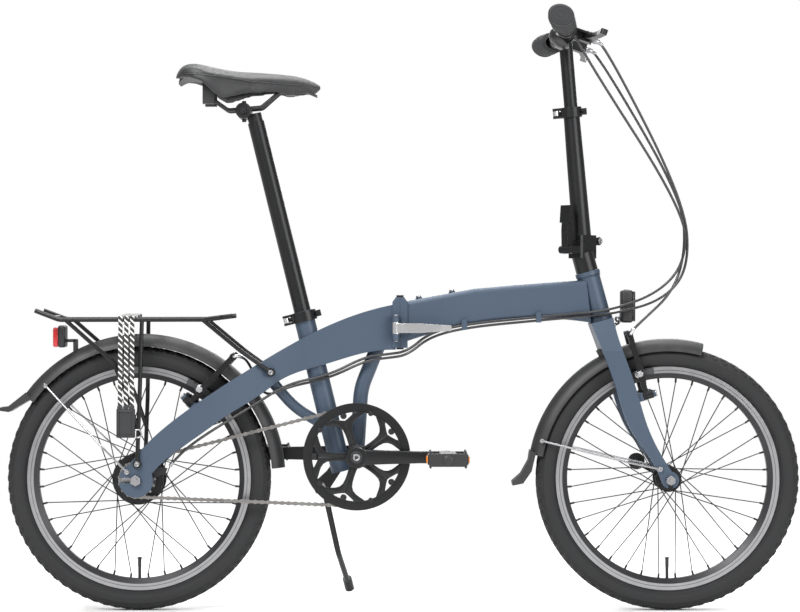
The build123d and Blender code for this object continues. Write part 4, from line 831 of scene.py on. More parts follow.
class BICYCLE_OT_chain(bpy.types.Operator):
    """Adds the chain, link by link, round the chainring and the sprocket"""

    bl_idname = "bicycle.chain"
    bl_label = "Chain"

    def execute(self, context):
        pins = chain_pins()
        inner = prism(plate(PITCH, 0.0041, 0.0022), 0.0018, 0.0025)
        outer = prism(plate(PITCH, 0.0041, 0.0022), 0.0026, 0.0033)
        roller = drum(0.0037, -0.0017, 0.0017, 12)
        rivet = drum(0.0017, -0.0037, 0.0037, 8, 0.0003, 1)
        parts = []
        for i, (a, b) in enumerate(zip(pins, pins[1:] + pins[:1])):
            at = place(a, (0, 1, 0), b - a)
            stretch = Matrix.Diagonal(((b - a).length / PITCH, 1, 1, 1))
            for s in (1, -1):
                side = Matrix.Rotation(0 if s > 0 else pi, 4, "X")
                parts.append(copied(inner if i % 2 else outer, at @ stretch @ side))
            parts += [copied(roller, at), copied(rivet, at)]
        for used in (inner, outer, roller, rivet):
            bpy.data.objects.remove(used, do_unlink=True)
        obj = complete(gather(parts, "chain"), "chain_links", finish("chain"), "rear_frame", 30)
        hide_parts("chain")
        return {"FINISHED"}


def ring_point(r, a):
    return Vector((r * cos(radians(a)), r * sin(radians(a)), 0))


def web_arm():
    """One arm of the spider, which forks near the rim and leaves a small opening between its tines."""
    half = [(17, 40), (21, 24), (28, 15.5), (38, 11), (48, 9.2), (57, 9.4), (64, 12), (70, 16.5), (75, 21.5), (80, 26),
            (86, 30)]
    opening = [(85, 14.5), (81.5, 13.0), (77, 8.6), (73.5, 4.2), (71.5, 0)]
    tine = [(r, a) for r, a in half] + [(r, a) for r, a in opening]
    rail = [ring_point(r * MM, a) for r, a in tine] + [ring_point(17 * MM, 0)]
    one = prism([(p.x, p.y) for p in rail], -0.0022, 0.0022, 0.0007)
    return gather([copied(one, Matrix.Identity(4)), moved(one, Matrix.Rotation(pi, 4, "X"))], "arm")


def right_crank():
    """Forked spider and tapered arm of the chain side's crank, with the pedal's axle."""
    arm = web_arm()
    parts = arrayed(arm, [place(BB + Vector((0, -0.0562, 0)), (0, -1, 0), (1, 0, 0)) @ Matrix.Rotation(
        radians(36 + 72 * k), 4, "Z") for k in range(5)])
    side = place(BB, (0, -1, 0), (1, 0, 0))
    parts.append(moved(lathe([(0.009, 0.0540), (0.0220, 0.0540), (0.0220, 0.0590), (0.0195, 0.0610), (0.0190, 0.0742),
                              (0.0180, 0.0750), (0.009, 0.0750)], 48, True), side))
    edge = [(0, -0.0150), (0.060, -0.0128), (0.120, -0.0112), (0.160, -0.0118)]
    tip = [(CRANK + 0.0130 * cos(radians(a)), 0.0130 * sin(radians(a))) for a in range(-75, 76, 15)]
    outline = edge + tip + [(x, -y) for x, y in edge[::-1]]
    parts.append(moved(prism(outline, 0.0602, 0.0748, 0.0026, 3), side))
    for r, a, b in ((0.0060, 0.0745, 0.1585), (0.0080, 0.0745, 0.0785)):
        parts.append(moved(drum(r, a, b, 32, 0.0004), side @ Matrix.Translation((CRANK, 0, 0))))
    obj = complete(gather(parts, "right_crank"), "right_crank_arm", finish("black_metal"), "crankset")
    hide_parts("right_crank")


class BICYCLE_OT_crank_trim(bpy.types.Operator):
    """Adds the crank caps, chainring bolts, pedal reflectors and grip studs"""

    bl_idname = "bicycle.crank_trim"
    bl_label = "Crank Trim"

    def execute(self, context):
        right_crank()
        bolt = socket_bolt(0.0050, 0.0022)
        parts = []
        for k in range(5):
            for turn, far, off in ((36, 0.0805, -0.0585), (72, 0.0855, -0.0555)):
                a = radians(turn + 72 * k)
                at = BB + Vector((far * cos(a), off, far * sin(a)))
                parts.append(copied(bolt, place(at, (0, -1, 0))))
        bpy.data.objects.remove(bolt, do_unlink=True)
        complete(gather(parts, "bolts"), "chainring_bolts", finish("dark_steel"), "crankset")
        bolt = moved(socket_bolt(0.0068, 0.0020), place(BB + Vector((0, -0.0762, 0)), (0, -1, 0)))
        complete(bolt, "crank_bolt", finish("steel"), "crankset")
        caps = []
        for s in (1, -1):
            cap = lathe([(0.0, 0.0022), (0.003, 0.0022), (0.004, 0.0012), (0.0085, 0.0012), (0.0098, 0.0022),
                         (0.0112, 0.0018), (0.0118, 0.0)], 40)
            caps.append(moved(cap, place(BB + Vector((0, s * 0.075, 0)), (0, s, 0))))
            end = lathe([(0.0, 0.0028), (0.0045, 0.0026), (0.0062, 0.0012), (0.0066, 0.0)], 32)
            tip = BB + Vector((-s * CRANK, s * 0.075, 0))
            caps.append(moved(end, place(tip, (0, s, 0))))
        complete(gather(caps, "caps"), "crank_caps", finish("plastic"), "crankset")
        for s, side in ((-1, "right"), (1, "left")):
            mid = BB + Vector((-s * CRANK, s * 0.1225, 0))
            panes, studs = [], []
            for d in (1, -1):
                pane = block((0.0026, 0.050, 0.0135), (0, 0, 0), 0.0008)
                edit(pane, lambda f, d=d: f.normal.x * d > 0.9)
                bpy.ops.mesh.inset(thickness=0.0018)
                bpy.ops.mesh.extrude_region_move(TRANSFORM_OT_translate={"value": (-0.0006 * d, 0, 0)})
                panes.append(moved(done(), Matrix.Translation(mid + Vector((d * 0.0382, 0, 0)))))
            complete(gather(panes, "panes"), side + "_pedal_reflectors", finish("amber"), side + "_pedal")
            stud = drum(0.0019, 0, 0.0034, 10, 0.0004, 1)
            for dx in (-0.0325, 0.0325):
                for dy in (-0.034, -0.017, 0.0, 0.017, 0.034):
                    for u in (1, -1):
                        studs.append(copied(stud, place(mid + Vector((dx, dy, u * 0.012)), (0, 0, u))))
            bpy.data.objects.remove(stud, do_unlink=True)
            dome = lathe([(0.0, 0.0030), (0.006, 0.0026), (0.0095, 0.0010), (0.0100, 0.0)], 32)
            studs.append(moved(dome, place(mid + Vector((0, s * 0.0425, 0)), (0, s, 0))))
            complete(gather(studs, "studs"), side + "_pedal_studs", finish("plastic"), side + "_pedal")
        return {"FINISHED"}


# ----------------------------------- saddle -----------------------------------
SADDLE_HALF = [(-0.426, 0.040), (-0.412, 0.062), (-0.380, 0.077), (-0.330, 0.070), (-0.280, 0.046), (-0.230, 0.029),
               (-0.180, 0.021), (-0.147, 0.014)]
SADDLE_TOP = [(-0.426, 1.012), (-0.406, 1.031), (-0.351, 1.024), (-0.282, 1.015), (-0.194, 1.011), (-0.147, 0.994)]


def along(table, x):
    for (a, u), (b, v) in zip(table, table[1:]):
        if x <= b:
            k = max(0.0, (x - a) / (b - a))
            return u + (v - u) * k
    return table[-1][1]


def swell(obj, most):
    """Padding pushed out a little by cloth simulation, with the cap kept on how far it moves."""
    scene = bpy.context.scene
    rest = [v.co.copy() for v in obj.data.vertices]
    pick(obj)
    m = obj.modifiers.new("Cloth", "CLOTH")
    m.settings.use_pressure, m.settings.uniform_pressure_force = True, 3.0
    m.settings.effector_weights.gravity = 0
    m.settings.mass, m.settings.quality = 0.4, 4
    scene.frame_start, scene.frame_end = 1, 14
    for k in range(1, 15):
        scene.frame_set(k)
    bpy.ops.object.modifier_apply(modifier=m.name)
    for v, p in zip(obj.data.vertices, rest):
        d = v.co - p
        if d.length > most:
            v.co = p + d * (most / d.length)
    scene.frame_set(1)


class BICYCLE_OT_saddle(bpy.types.Operator):
    """Adds the padded saddle cover with its piping and stitching"""

    bl_idname = "bicycle.saddle"
    bl_label = "Saddle"

    def execute(self, context):
        source = frame["nodes"]["saddle_cover"]
        obj = bpy.data.objects.new("saddle", source.data.copy())
        context.scene.collection.objects.link(obj)
        obj.data.materials.clear()
        edit(obj)
        bpy.ops.mesh.remove_doubles(threshold=1e-5)
        done()
        modifier(obj, "REMESH", mode="VOXEL", voxel_size=0.003)
        # The crown falls away to the sides and the edges are softened.
        for v in obj.data.vertices:
            x, y, z = v.co
            half, top = along(SADDLE_HALF, x), along(SADDLE_TOP, x)
            w = min(1.0, abs(y) / half)
            high = max(0.0, min(1.0, (z - (top - 0.030)) / 0.030))
            v.co.z = z - (0.011 * w ** 2.6 - 0.0015) * high
            v.co.y = y * (1 - 0.05 * high * w * w)
        modifier(obj, "SMOOTH", factor=0.5, iterations=14)
        swell(obj, sizes().cover_swell)
        # A shallow relief channel runs along the middle, deepest behind the nose.
        for v in obj.data.vertices:
            x, y, z = v.co
            if z > along(SADDLE_TOP, x) - 0.012 and -0.40 < x < -0.19:
                run = sin(pi * (x + 0.40) / 0.21)
                v.co.z -= 0.0032 * run * max(0.0, cos(min(pi, abs(y) / 0.013 * pi / 2)) if abs(y) < 0.013 else 0.0)
        modifier(obj, "SMOOTH", factor=0.5, iterations=2)
        modifier(obj, "SUBSURF", levels=1, render_levels=1)
        complete(obj, "saddle_cover", finish("vinyl"), "seat", 60)
        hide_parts("saddle_cover")
        self.piping(obj)
        return {"FINISHED"}

    def piping(self, cover):
        """A thin welt and a row of stitches laid on the cover's sides."""
        hit = cover.data.copy()
        probe = bpy.data.objects.new("probe", hit)
        bpy.context.scene.collection.objects.link(probe)
        bpy.context.view_layer.update()
        cords, stitches = [], []
        for s in (1, -1):
            line = []
            for k in range(60):
                x = -0.418 + 0.262 * k / 59
                z = along(SADDLE_TOP, x) - 0.019 + 0.003 * sin(pi * k / 59)
                found, where, normal, _ = probe.ray_cast(Vector((x, s * 0.2, z)), Vector((0, -s, 0)))
                if found:
                    line.append(where + normal * 0.0004)
            cords.append(tube(line, 0.0010, 8))
            for a, b in zip(line[1:-1], line[2:]):
                for f in (0.1, 0.6):
                    p, q = a.lerp(b, f), a.lerp(b, f + 0.3)
                    drop = Vector((0, 0, 0.0034))
                    middle = (p + q) / 2 + drop + Vector((0, s * 0.0005, 0))
                    stitches.append(tube([p + drop, middle, q + drop], 0.00035, 5))
        bpy.data.objects.remove(probe, do_unlink=True)
        complete(gather(cords, "piping"), "saddle_piping", finish("vinyl"), "seat", 60)
        complete(gather(stitches, "stitches"), "saddle_stitches", finish("thread"), "seat", 60)


class BICYCLE_OT_seat_trim(bpy.types.Operator):
    """Adds the saddle clamp's bolts and serrated cheeks, and the seatpost's plug"""

    bl_idname = "bicycle.seat_trim"
    bl_label = "Seat Trim"

    def execute(self, context):
        parts = []
        for s in (1, -1):
            cheek = drum(0.0150, 0, 0.0030, 36, 0.0006, 1)
            edit(cheek, lambda f: f.normal.z > 0.9)
            bpy.ops.mesh.inset(thickness=0.0035)
            bpy.ops.mesh.extrude_region_move(TRANSFORM_OT_translate={"value": (0, 0, 0.0012)})
            parts.append(moved(done(), place((-0.296, s * 0.028, 0.946), (0, s, 0))))
            parts.append(moved(hex_nut(0.0075, 0.0050), place((-0.296, s * 0.0320, 0.946), (0, s, 0))))
        complete(gather(parts, "cheeks"), "saddle_clamp_cheeks", finish("dark_steel"), "seat")
        rings = []
        low = seat(0.091)
        plug = lathe([(0.0, -0.004), (0.012, -0.004), (0.0158, -0.001), (0.0158, 0.0)], 40)
        rings.append(moved(plug, place(low, seat(1) - seat(0))))
        complete(gather(rings, "plug"), "seatpost_plug", finish("plastic"), "seat")
        return {"FINISHED"}


# ------------------------------- handlebar pieces -------------------------------
class BICYCLE_OT_grips(bpy.types.Operator):
    """Adds the ribbed hand grips with their round end caps"""

    bl_idname = "bicycle.grips"
    bl_label = "Grips"

    def execute(self, context):
        n, r = sizes().grip_ribs, 0.0190
        section = [(0.0112, 0.0), (r - 0.0010, 0.0), (r + 0.0004, 0.0012), (r + 0.0004, 0.0042), (r - 0.0016, 0.0056)]
        start, pitch = 0.0070, 0.1020 / n
        for k in range(n):
            z, swell_by = start + k * pitch, 0.0012 * sin(pi * (k + 0.5) / n)
            low, high = r - 0.0022 + swell_by, r - 0.0008 + swell_by
            section += [(low, z), (high, z + 0.28 * pitch), (high, z + 0.66 * pitch), (low, z + 0.92 * pitch)]
        section += [(r - 0.0018, 0.1105), (r + 0.0003, 0.1120), (r + 0.0003, 0.1190), (r - 0.0016, 0.1215),
                    (0.0150, 0.1220), (0.0145, 0.1212), (0.0118, 0.1212), (0.0113, 0.1220), (0.0082, 0.1220),
                    (0.0077, 0.1212), (0.0048, 0.1212), (0.0042, 0.1220), (0.0, 0.1220)]
        grip = lathe(section, 56)
        edit(grip)
        bpy.ops.transform.resize(value=(1.24, 1.0, 1.0))
        bpy.ops.transform.translate(value=(-0.0036, 0, 0))
        done()
        # The palm rest widens at the back, near the outer end.
        for v in grip.data.vertices:
            if v.co.x < 0:
                v.co.x *= 1 + 0.10 * sin(pi * min(1.0, max(0.0, v.co.z / 0.122)))
        a, b = bar(BAR_MID_HALF), bar(BAR_HALF)
        out = (b - a).normalized()
        left = moved(grip, place(bar(BAR_HALF - GRIP_LEN + 0.005), out, LEVER_F))
        obj = gather([left, mirrored(left)], "grips")
        complete(obj, "hand_grips", finish("rubber"), "handlebar", 30)
        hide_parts("grips")
        return {"FINISHED"}


class BICYCLE_OT_bar_trim(bpy.types.Operator):
    """Adds the stem bolts, lever pivots, cable adjusters, shifter ribs and the bell's cap"""

    bl_idname = "bicycle.bar_trim"
    bl_label = "Bar Trim"

    def execute(self, context):
        parts = []
        bolt = socket_bolt(0.0036, 0.0034)
        for y in (-0.0150, 0.0150):
            parts.append(copied(bolt, place(BAR_MID + Vector((0.024, y, 0)), (1, 0, 0))))
        bpy.data.objects.remove(bolt, do_unlink=True)
        for s in (1, -1):
            at = lever_frame(s)
            head_bolt = socket_bolt(0.0052, 0.0022)
            parts.append(moved(head_bolt, at @ Matrix.Translation((0, 0, 0.0095))))
            barrel = lathe([(0.0026, 0.0), (0.0056, 0.0), (0.0058, 0.0015), (0.0058, 0.0075), (0.0050, 0.0085),
                            (0.0046, 0.0135), (0.0026, 0.0140)], 20, True)
            edit(barrel, lambda f: abs(f.normal.z) < 0.1 and hypot(f.center.x, f.center.y) > 0.0054)
            bpy.ops.mesh.inset(thickness=0.0004, depth=0.0003, use_individual=True)
            done()
            tip = at @ Vector((0.0105, s * -0.016, 0))
            parts.append(moved(barrel, place(tip, (at @ Vector((0.03, s * -0.016, 0))) - tip)))
        complete(gather(parts, "bolts"), "bar_bolts", finish("steel"), "handlebar")
        a, b = bar(-0.124), bar(-(BAR_HALF - GRIP_LEN + 0.004))
        ribs = []
        count, r = 30, 0.0166
        rib = block((0.0012, 0.0012, 0.0200), (r, 0, 0.0240), 0.0004, 1)
        ribs += arrayed(rib, spread(count))
        ring = lathe([(0.0188, 0.0), (0.0196, 0.0008), (0.0196, 0.0100), (0.0188, 0.0112)], 56)
        ribs.append(ring)
        window = block((0.0026, 0.0130, 0.0070), (0.0188, 0, 0.0055), 0.0006)
        ribs.append(window)
        shifter = moved(gather(ribs, "ribs"), place(a, b - a, (0, 0, 1)))
        complete(shifter, "shifter_ribs", finish("rubber"), "gear_shifter")
        centre = Vector((BAR_MID.x, -0.057, BAR_MID.z))
        n = Vector((-0.75, 0, -0.66)).normalized()
        dome = lathe([(0.0240, 0.0158), (0.0243, 0.0168), (0.0240, 0.0190), (0.0230, 0.0222), (0.0212, 0.0256),
                      (0.0180, 0.0292), (0.0135, 0.0322), (0.0085, 0.0342), (0.0050, 0.0350), (0.0046, 0.0364),
                      (0.0, 0.0368)], 48)
        bell = moved(dome, place(centre, n, (0, 1, 0)))
        complete(bell, "bell_dome", finish("bell"), "handlebar", 50)
        return {"FINISHED"}


# ---------------------------------- rack straps ----------------------------------
class BICYCLE_OT_straps(bpy.types.Operator):
    """Adds the elastic straps, their rubber end and the wire hook"""

    bl_idname = "bicycle.straps"
    bl_label = "Rack Straps"

    def execute(self, context):
        pts = [(-83.5, 384), (-81.5, 384), (-77.5, 440), (-73.8, 500), (-70.0, 556), (0, 558.4), (66.5, 560.4),
               (70.0, 548), (72.0, 548.6), (68.0, 562.4), (0, 560.4), (-72.0, 558), (-75.8, 500), (-79.5, 440)]
        pts = [(y * MM, z * MM) for y, z in pts]
        bands = []
        for k in range(3):
            x = -0.527 + 0.011 * k
            band = prism(pts, x, x + 0.008, 0.0005, 1)
            bands.append(moved(band, Matrix(((0, 0, 1, 0), (1, 0, 0, 0), (0, 1, 0, 0), (0, 0, 0, 1)))))
        obj = complete(gather(bands, "straps"), "rack_straps", finish("webbing"), "rear_frame", 40)
        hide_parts("rack_straps")
        end = block((0.0350, 0.0056, 0.0540), (-0.512, -0.0826, 0.3575), 0.0018, 3)
        edit(end, lambda f: f.normal.y < -0.9)
        bpy.ops.mesh.inset(thickness=0.0045)
        bpy.ops.mesh.extrude_region_move(TRANSFORM_OT_translate={"value": (0, 0.0008, 0)})
        done()
        clips = [block((0.0100, 0.0062, 0.0090), (-0.523 + 0.011 * k, -0.0826, 0.3855), 0.0012) for k in range(3)]
        rubber = gather([end, *clips], "end")
        complete(rubber, "strap_end", finish("rubber"), "rear_frame")
        hook = tube(line_of([Vector(p) * MM for p in ((-506, -83, 345), (-497, -83, 345), (-486, -83, 346),
                                                      (-482, -83, 338), (-486, -83, 330), (-492, -83, 331))]), 0.0016)
        complete(hook, "strap_hook", finish("steel"), "rear_frame", 60)
        return {"FINISHED"}


# ------------------------------------ lights ------------------------------------
class BICYCLE_OT_lights(bpy.types.Operator):
    """Adds the headlight on its wire bracket and the rear light with its reflector"""

    bl_idname = "bicycle.lights"
    bl_label = "Lights"

    def execute(self, context):
        body = block((0.0220, 0.0420, 0.0620), (0.430, 0, 0.576), 0.0050, 4)
        edit(body, lambda f: f.normal.x > 0.95)
        bpy.ops.mesh.inset(thickness=0.0020)
        bpy.ops.mesh.extrude_region_move(TRANSFORM_OT_translate={"value": (0.0045, 0, 0)})
        bpy.ops.mesh.inset(thickness=0.0022)
        bpy.ops.mesh.extrude_region_move(TRANSFORM_OT_translate={"value": (-0.0035, 0, 0)})
        done()
        fins = [block((0.0160, 0.0440, 0.0016), (0.429, 0, 0.566 + 0.005 * k), 0.0004, 1) for k in range(5)]
        switch = moved(lathe([(0.0, 0.0016), (0.0050, 0.0012), (0.0060, 0.0)], 24), place((0.430, 0, 0.6066), (0, 0, 1)))
        shell = gather([body, *fins, switch], "shell")
        complete(shell, "headlight_shell", finish("plastic"), "fork")
        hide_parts("headlight")
        glass = block((0.0050, 0.0335, 0.0430), (0.4432, 0, 0.5790), 0.0016, 3)
        complete(glass, "headlight_lens", finish("clear"), "fork")
        mirror_pane = block((0.0040, 0.0330, 0.0085), (0.4436, 0, 0.5515), 0.0008)
        complete(mirror_pane, "headlight_reflector", finish("clear"), "fork")
        wire = tube(line_of([Vector(p) * MM for p in ((404, 0, 541), (412, -3, 541), (418, -8, 548), (414, -8, 557),
                                                      (408, -5, 553), (413, 2, 546), (420, 6, 552), (419, 4, 566),
                                                      (424, 0, 572))]), 0.0022)
        nut = moved(hex_nut(0.0070, 0.0040), place((0.4050, 0, 0.5400), (0.55, 0, -0.18), (0, 1, 0)))
        complete(gather([wire, nut], "wire"), "headlight_bracket", finish("steel"), "fork", 50)

        housing = block((0.0130, 0.0480, 0.0420), (-0.6405, 0, 0.519), 0.0040, 3)
        arm = block((0.0200, 0.0160, 0.0060), (-0.6250, 0, 0.511), 0.0010)
        foot = block((0.0080, 0.0160, 0.0240), (-0.6160, 0, 0.502), 0.0010)
        shell = gather([housing, arm, foot], "housing")
        complete(shell, "rear_light_shell", finish("plastic"), "rear_frame")
        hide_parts("rear_light")
        glass = block((0.0100, 0.0430, 0.0370), (-0.6515, 0, 0.5175), 0.0028, 3)
        ribs = [block((0.0014, 0.0400, 0.0012), (-0.6566, 0, 0.5045 + 0.0037 * k), 0.0003, 1) for k in range(8)]
        complete(gather([glass, *ribs], "lens"), "rear_light_lens", finish("red"), "rear_frame")
        return {"FINISHED"}


# ------------------------------------ brakes ------------------------------------
def shoe(cx, boss, s):
    """Brake shoe curved to the rim, with water slots cut across its face."""
    o = boss.translation
    middle = atan2(o.z - AXLE_Z, o.x - cx)
    half, low, high = radians(8.0), 0.2003, 0.2117
    outer, inner = [], []
    for k in range(17):
        a = middle - half + 2 * half * k / 16
        cut = 0.0022 if k in (4, 8, 12) else 0.0
        outer.append((cx + (high - cut) * cos(a), AXLE_Z + (high - cut) * sin(a)))
        inner.append((cx + (low + cut * 0.6) * cos(a), AXLE_Z + (low + cut * 0.6) * sin(a)))
    obj = prism(outer + inner[::-1], 0, 0.0108, 0.0005, 1)
    # Local x and y are the wheel's plane; z runs outwards from the rim.
    turn = Matrix(((1, 0, 0, 0), (0, 0, s, s * 0.0143), (0, 1, 0, 0), (0, 0, 0, 1)))
    moved(obj, turn)
    pick(obj)
    edit(obj)
    bpy.ops.mesh.normals_make_consistent(inside=False)
    done()
    c = Vector((cx + 0.206 * cos(middle), s * 0.0305, AXLE_Z + 0.206 * sin(middle)))
    return obj, c


class BICYCLE_OT_brakes(bpy.types.Operator):
    """Adds the brake shoes, pad bolts, springs, pivot bolts, rubber boots and wires"""

    bl_idname = "bicycle.brakes"
    bl_label = "Brakes"

    def execute(self, context):
        for wheel, cx, boss, parent in (("front", FRONT_X, FRONT_BOSS, "fork"),
                                        ("rear", REAR_X, REAR_BOSS, "rear_frame")):
            pivots = []
            for s, side in ((1, "left"), (-1, "right")):
                pad, c = shoe(cx, boss, s)
                body = f"{wheel}_brake_{side}"
                complete(pad, f"{body}_shoe", finish("pad"), body)
                washers = []
                for y, r, h in ((0.0250, 0.0075, 0.0022), (0.0275, 0.0085, 0.0026), (0.0345, 0.0080, 0.0024),
                                (0.0385, 0.0068, 0.0020)):
                    washers.append(moved(drum(r, 0, h, 28, 0.0005, 1), place((c.x, s * y, c.z), (0, s, 0))))
                washers.append(moved(hex_nut(0.0066, 0.0048), place((c.x, s * 0.0442, c.z), (0, s, 0))))
                complete(gather(washers, "washers"), f"{body}_pad_bolt", finish("silver"), body)
                t = 1 if boss.to_3x3().col[1].y > 0 else -1
                coil = []
                for k in range(49):
                    a = k / 48 * 2 * pi * 3
                    coil.append(boss @ Vector((0.0090 * cos(a), s * t * BRAKE_Y + 0.0090 * sin(a),
                                               -0.0050 + 0.0015 * a / pi)))
                coil.append(boss @ Vector((0.0300, s * t * 0.0440, 0.0072)))
                coil.append(boss @ Vector((0.0560, s * t * 0.0425, 0.0072)))
                complete(tube(coil, 0.0008, 6), f"{body}_spring", finish("dark_steel"), body, 60)
                bolt = socket_bolt(0.0062, 0.0030)
                pivots.append(moved(bolt, boss @ Matrix.Translation((0, s * t * BRAKE_Y, 0.0185))))
            complete(gather(pivots, "pivots"), f"{wheel}_brake_pivot_bolts", finish("steel"), parent)
            end = boss @ Vector((0.117, 0, 0.001))
            n = 9
            section = [(0.0012, 0.0)]
            for k in range(n):
                z = 0.0030 + 0.0028 * k
                r = 0.0072 - 0.00035 * k
                section += [(r - 0.0016, z), (r, z + 0.0008), (r, z + 0.0016), (r - 0.0016, z + 0.0024)]
            section += [(0.0022, 0.0290), (0.0012, 0.0290)]
            boot = moved(lathe(section, 28), place(end + Vector((0, -0.0225, 0)), (0, 1, 0)))
            complete(boot, f"{wheel}_brake_boot", finish("rubber"), parent, 30)
            wire = tube([end + Vector((0, y, 0)) for y in (-0.028, 0.010, 0.047)], 0.0008, 8)
            grub = moved(hex_nut(0.0050, 0.0040), place(end + Vector((0, 0.0375, 0)), boss.to_3x3().col[2]))
            complete(gather([wire, grub], "wire"), f"{wheel}_brake_wire", finish("steel"), parent)
        return {"FINISHED"}


# ----------------------------------- fasteners -----------------------------------
def fasteners():
    """(piece, body, kind, radius, height, [(place, direction), ...]) for every group of bolts and nuts."""
    tilt = Vector((-0.18033, 0, 0.98361))
    mid = Vector((0.0674, 0, 0.59599))
    lay = Vector((0.98361, 0, 0.18033))
    hp = place((0.346, 0, 0.700), (0, 0, 1), (1, 1, 0))
    pin = hp.to_3x3().col[1]
    rows = [
        ("bottle_bolts", "front_frame", "socket", 0.0046, 0.0034,
         [(mid + lay * d + tilt * 0.003, tilt) for d in (0.032, -0.032)]),
        ("rear_axle_nuts", "rear_frame", "nut", 0.0112, 0.0092,
         [((REAR_X, s * 0.0722, AXLE_Z), (0, s, 0)) for s in (1, -1)]),
        ("front_axle_nut", "fork", "nut", 0.0095, 0.0100, [((FRONT_X, -0.0662, AXLE_Z), (0, -1, 0))]),
        ("stand_bolts", "rear_frame", "socket", 0.0085, 0.0032,
         [((-0.150, 0.0511, 0.233), (0, 1, 0)), ((-0.150, 0.0198, 0.233), (0, -1, 0)),
          ((-0.108, 0.0198, 0.287), (0, -1, 0))]),
        ("mudguard_bolts", "rear_frame", "socket", 0.0042, 0.0026,
         [((-0.511, s * 0.0764, 0.266), (0, s, 0)) for s in (1, -1)]
         + [((-0.669, s * 0.0322, 0.426), (0, s, 0)) for s in (1, -1)]),
        ("front_mudguard_bolts", "fork", "socket", 0.0042, 0.0026,
         [((0.487, s * 0.0704, 0.271), (0, s, 0)) for s in (1, -1)]
         + [((0.268, s * 0.0322, 0.322), (0, s, 0)) for s in (1, -1)]),
        ("rack_bolts", "rear_frame", "socket", 0.0050, 0.0032,
         [((-0.4915, s * 0.0800, 0.281), (0, s, 0)) for s in (1, -1)]
         + [((-0.243, s * 0.0530, 0.452), (0, s, 0)) for s in (1, -1)]),
        ("handlepost_pin_caps", "fork", "socket", 0.0056, 0.0022,
         [(hp @ Vector((0.030, s * 0.0185, 0)), pin * s) for s in (1, -1)]),
        ("latch_pin_caps", "rear_frame", "socket", 0.0050, 0.0022, [((-0.008, -0.046, 0.558), (0, 0, 1)),
                                                                   ((-0.008, -0.046, 0.512), (0, 0, -1))]),
    ]
    return rows


class BICYCLE_OT_fasteners(bpy.types.Operator):
    """Adds the bolts and nuts that hold the bicycle together"""

    bl_idname = "bicycle.fasteners"
    bl_label = "Fasteners"

    def execute(self, context):
        for name, body, kind, r, h, spots in fasteners():
            one = (socket_bolt if kind == "socket" else hex_nut)(r, h)
            parts = arrayed(one, [place(p, d) for p, d in spots])
            complete(gather(parts, name), name, finish("steel"), body)
        return {"FINISHED"}


# ------------------------------------ welds ------------------------------------
class BICYCLE_OT_welds(bpy.types.Operator):
    """Adds the rippled weld beads round the frame's tube joints"""

    bl_idname = "bicycle.welds"
    bl_label = "Welds"

    def execute(self, context):
        for name, body, spots in (
            ("rear_frame_welds", "rear_frame", [(Vector((BB.x, s * 0.034, BB.z)), (0, 1, 0), 0.0200) for s in (1, -1)]
             + [(seat(0.266), seat(1) - seat(0), 0.0195)]),
            ("front_frame_welds", "front_frame", [(head(0.010), head(1) - head(0), 0.0215),
                                                  (head(0.086), head(1) - head(0), 0.0215)]),
        ):
            beads = []
            for at, axis, r in spots:
                ring = [Vector(((r + 0.0002) * cos(a), (r + 0.0002) * sin(a), 0)) for a in
                        (2 * pi * k / 96 for k in range(97))]
                bead = tube(ring, lambda d: 0.0012 + 0.00035 * sin(d * 2300), 8, False)
                edit(bead)
                bpy.ops.mesh.remove_doubles(threshold=1e-6)
                done()
                beads.append(moved(bead, place(at, axis)))
            complete(gather(beads, name), name, finish("paint"), body, 60)
        return {"FINISHED"}


# ------------------------------------ cables ------------------------------------
def mm(points):
    return [Vector(p) * MM for p in points]


def lever_exit(s, off):
    return lever_frame(s) @ Vector((0.022 + off, s * -0.016, 0))


def cable(name, route, spans, r):
    """Housing along one smooth line, cut where it passes from body to body."""
    line = line_of(route)
    cuts = [0]
    for spot, *_ in spans[:-1]:
        target = Vector(spot) * MM
        cuts.append(min(range(cuts[-1] + 1, len(line)), key=lambda i: (line[i] - target).length))
    cuts.append(len(line) - 1)
    for k, ((_, *bodies), i, j) in enumerate(zip(spans, cuts, cuts[1:])):
        obj = tube(line[i:j + 1], r, 14, True)
        complete(obj, f"{name}_{k + 1}", finish("housing"), bodies[0] if len(bodies) == 1 else None, 60)
        if len(bodies) == 2:
            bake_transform(obj)
    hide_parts(name)
    return line


def ferrule(line, i, step, r):
    """Metal sleeve on a housing, from point i towards point i + step."""
    a, d = line[i], (line[i + step] - line[i]).normalized()
    sleeve = lathe([(r, 0.0), (r + 0.0008, 0.0), (r + 0.0010, 0.0010), (r + 0.0010, 0.0085), (r + 0.0005, 0.0095),
                    (r, 0.0100)], 20, True)
    return moved(sleeve, place(a, d))


def brake_pipe(line, name, body):
    """Curved metal pipe over the end of a brake housing, with its sleeve."""
    first = len(line) - PIPE_POINTS
    pipe = tube(line[first:], 0.0030, 14)
    complete(gather([pipe, ferrule(line, first, -1, 0.0026)], "pipe"), name, finish("silver"), body, 50)


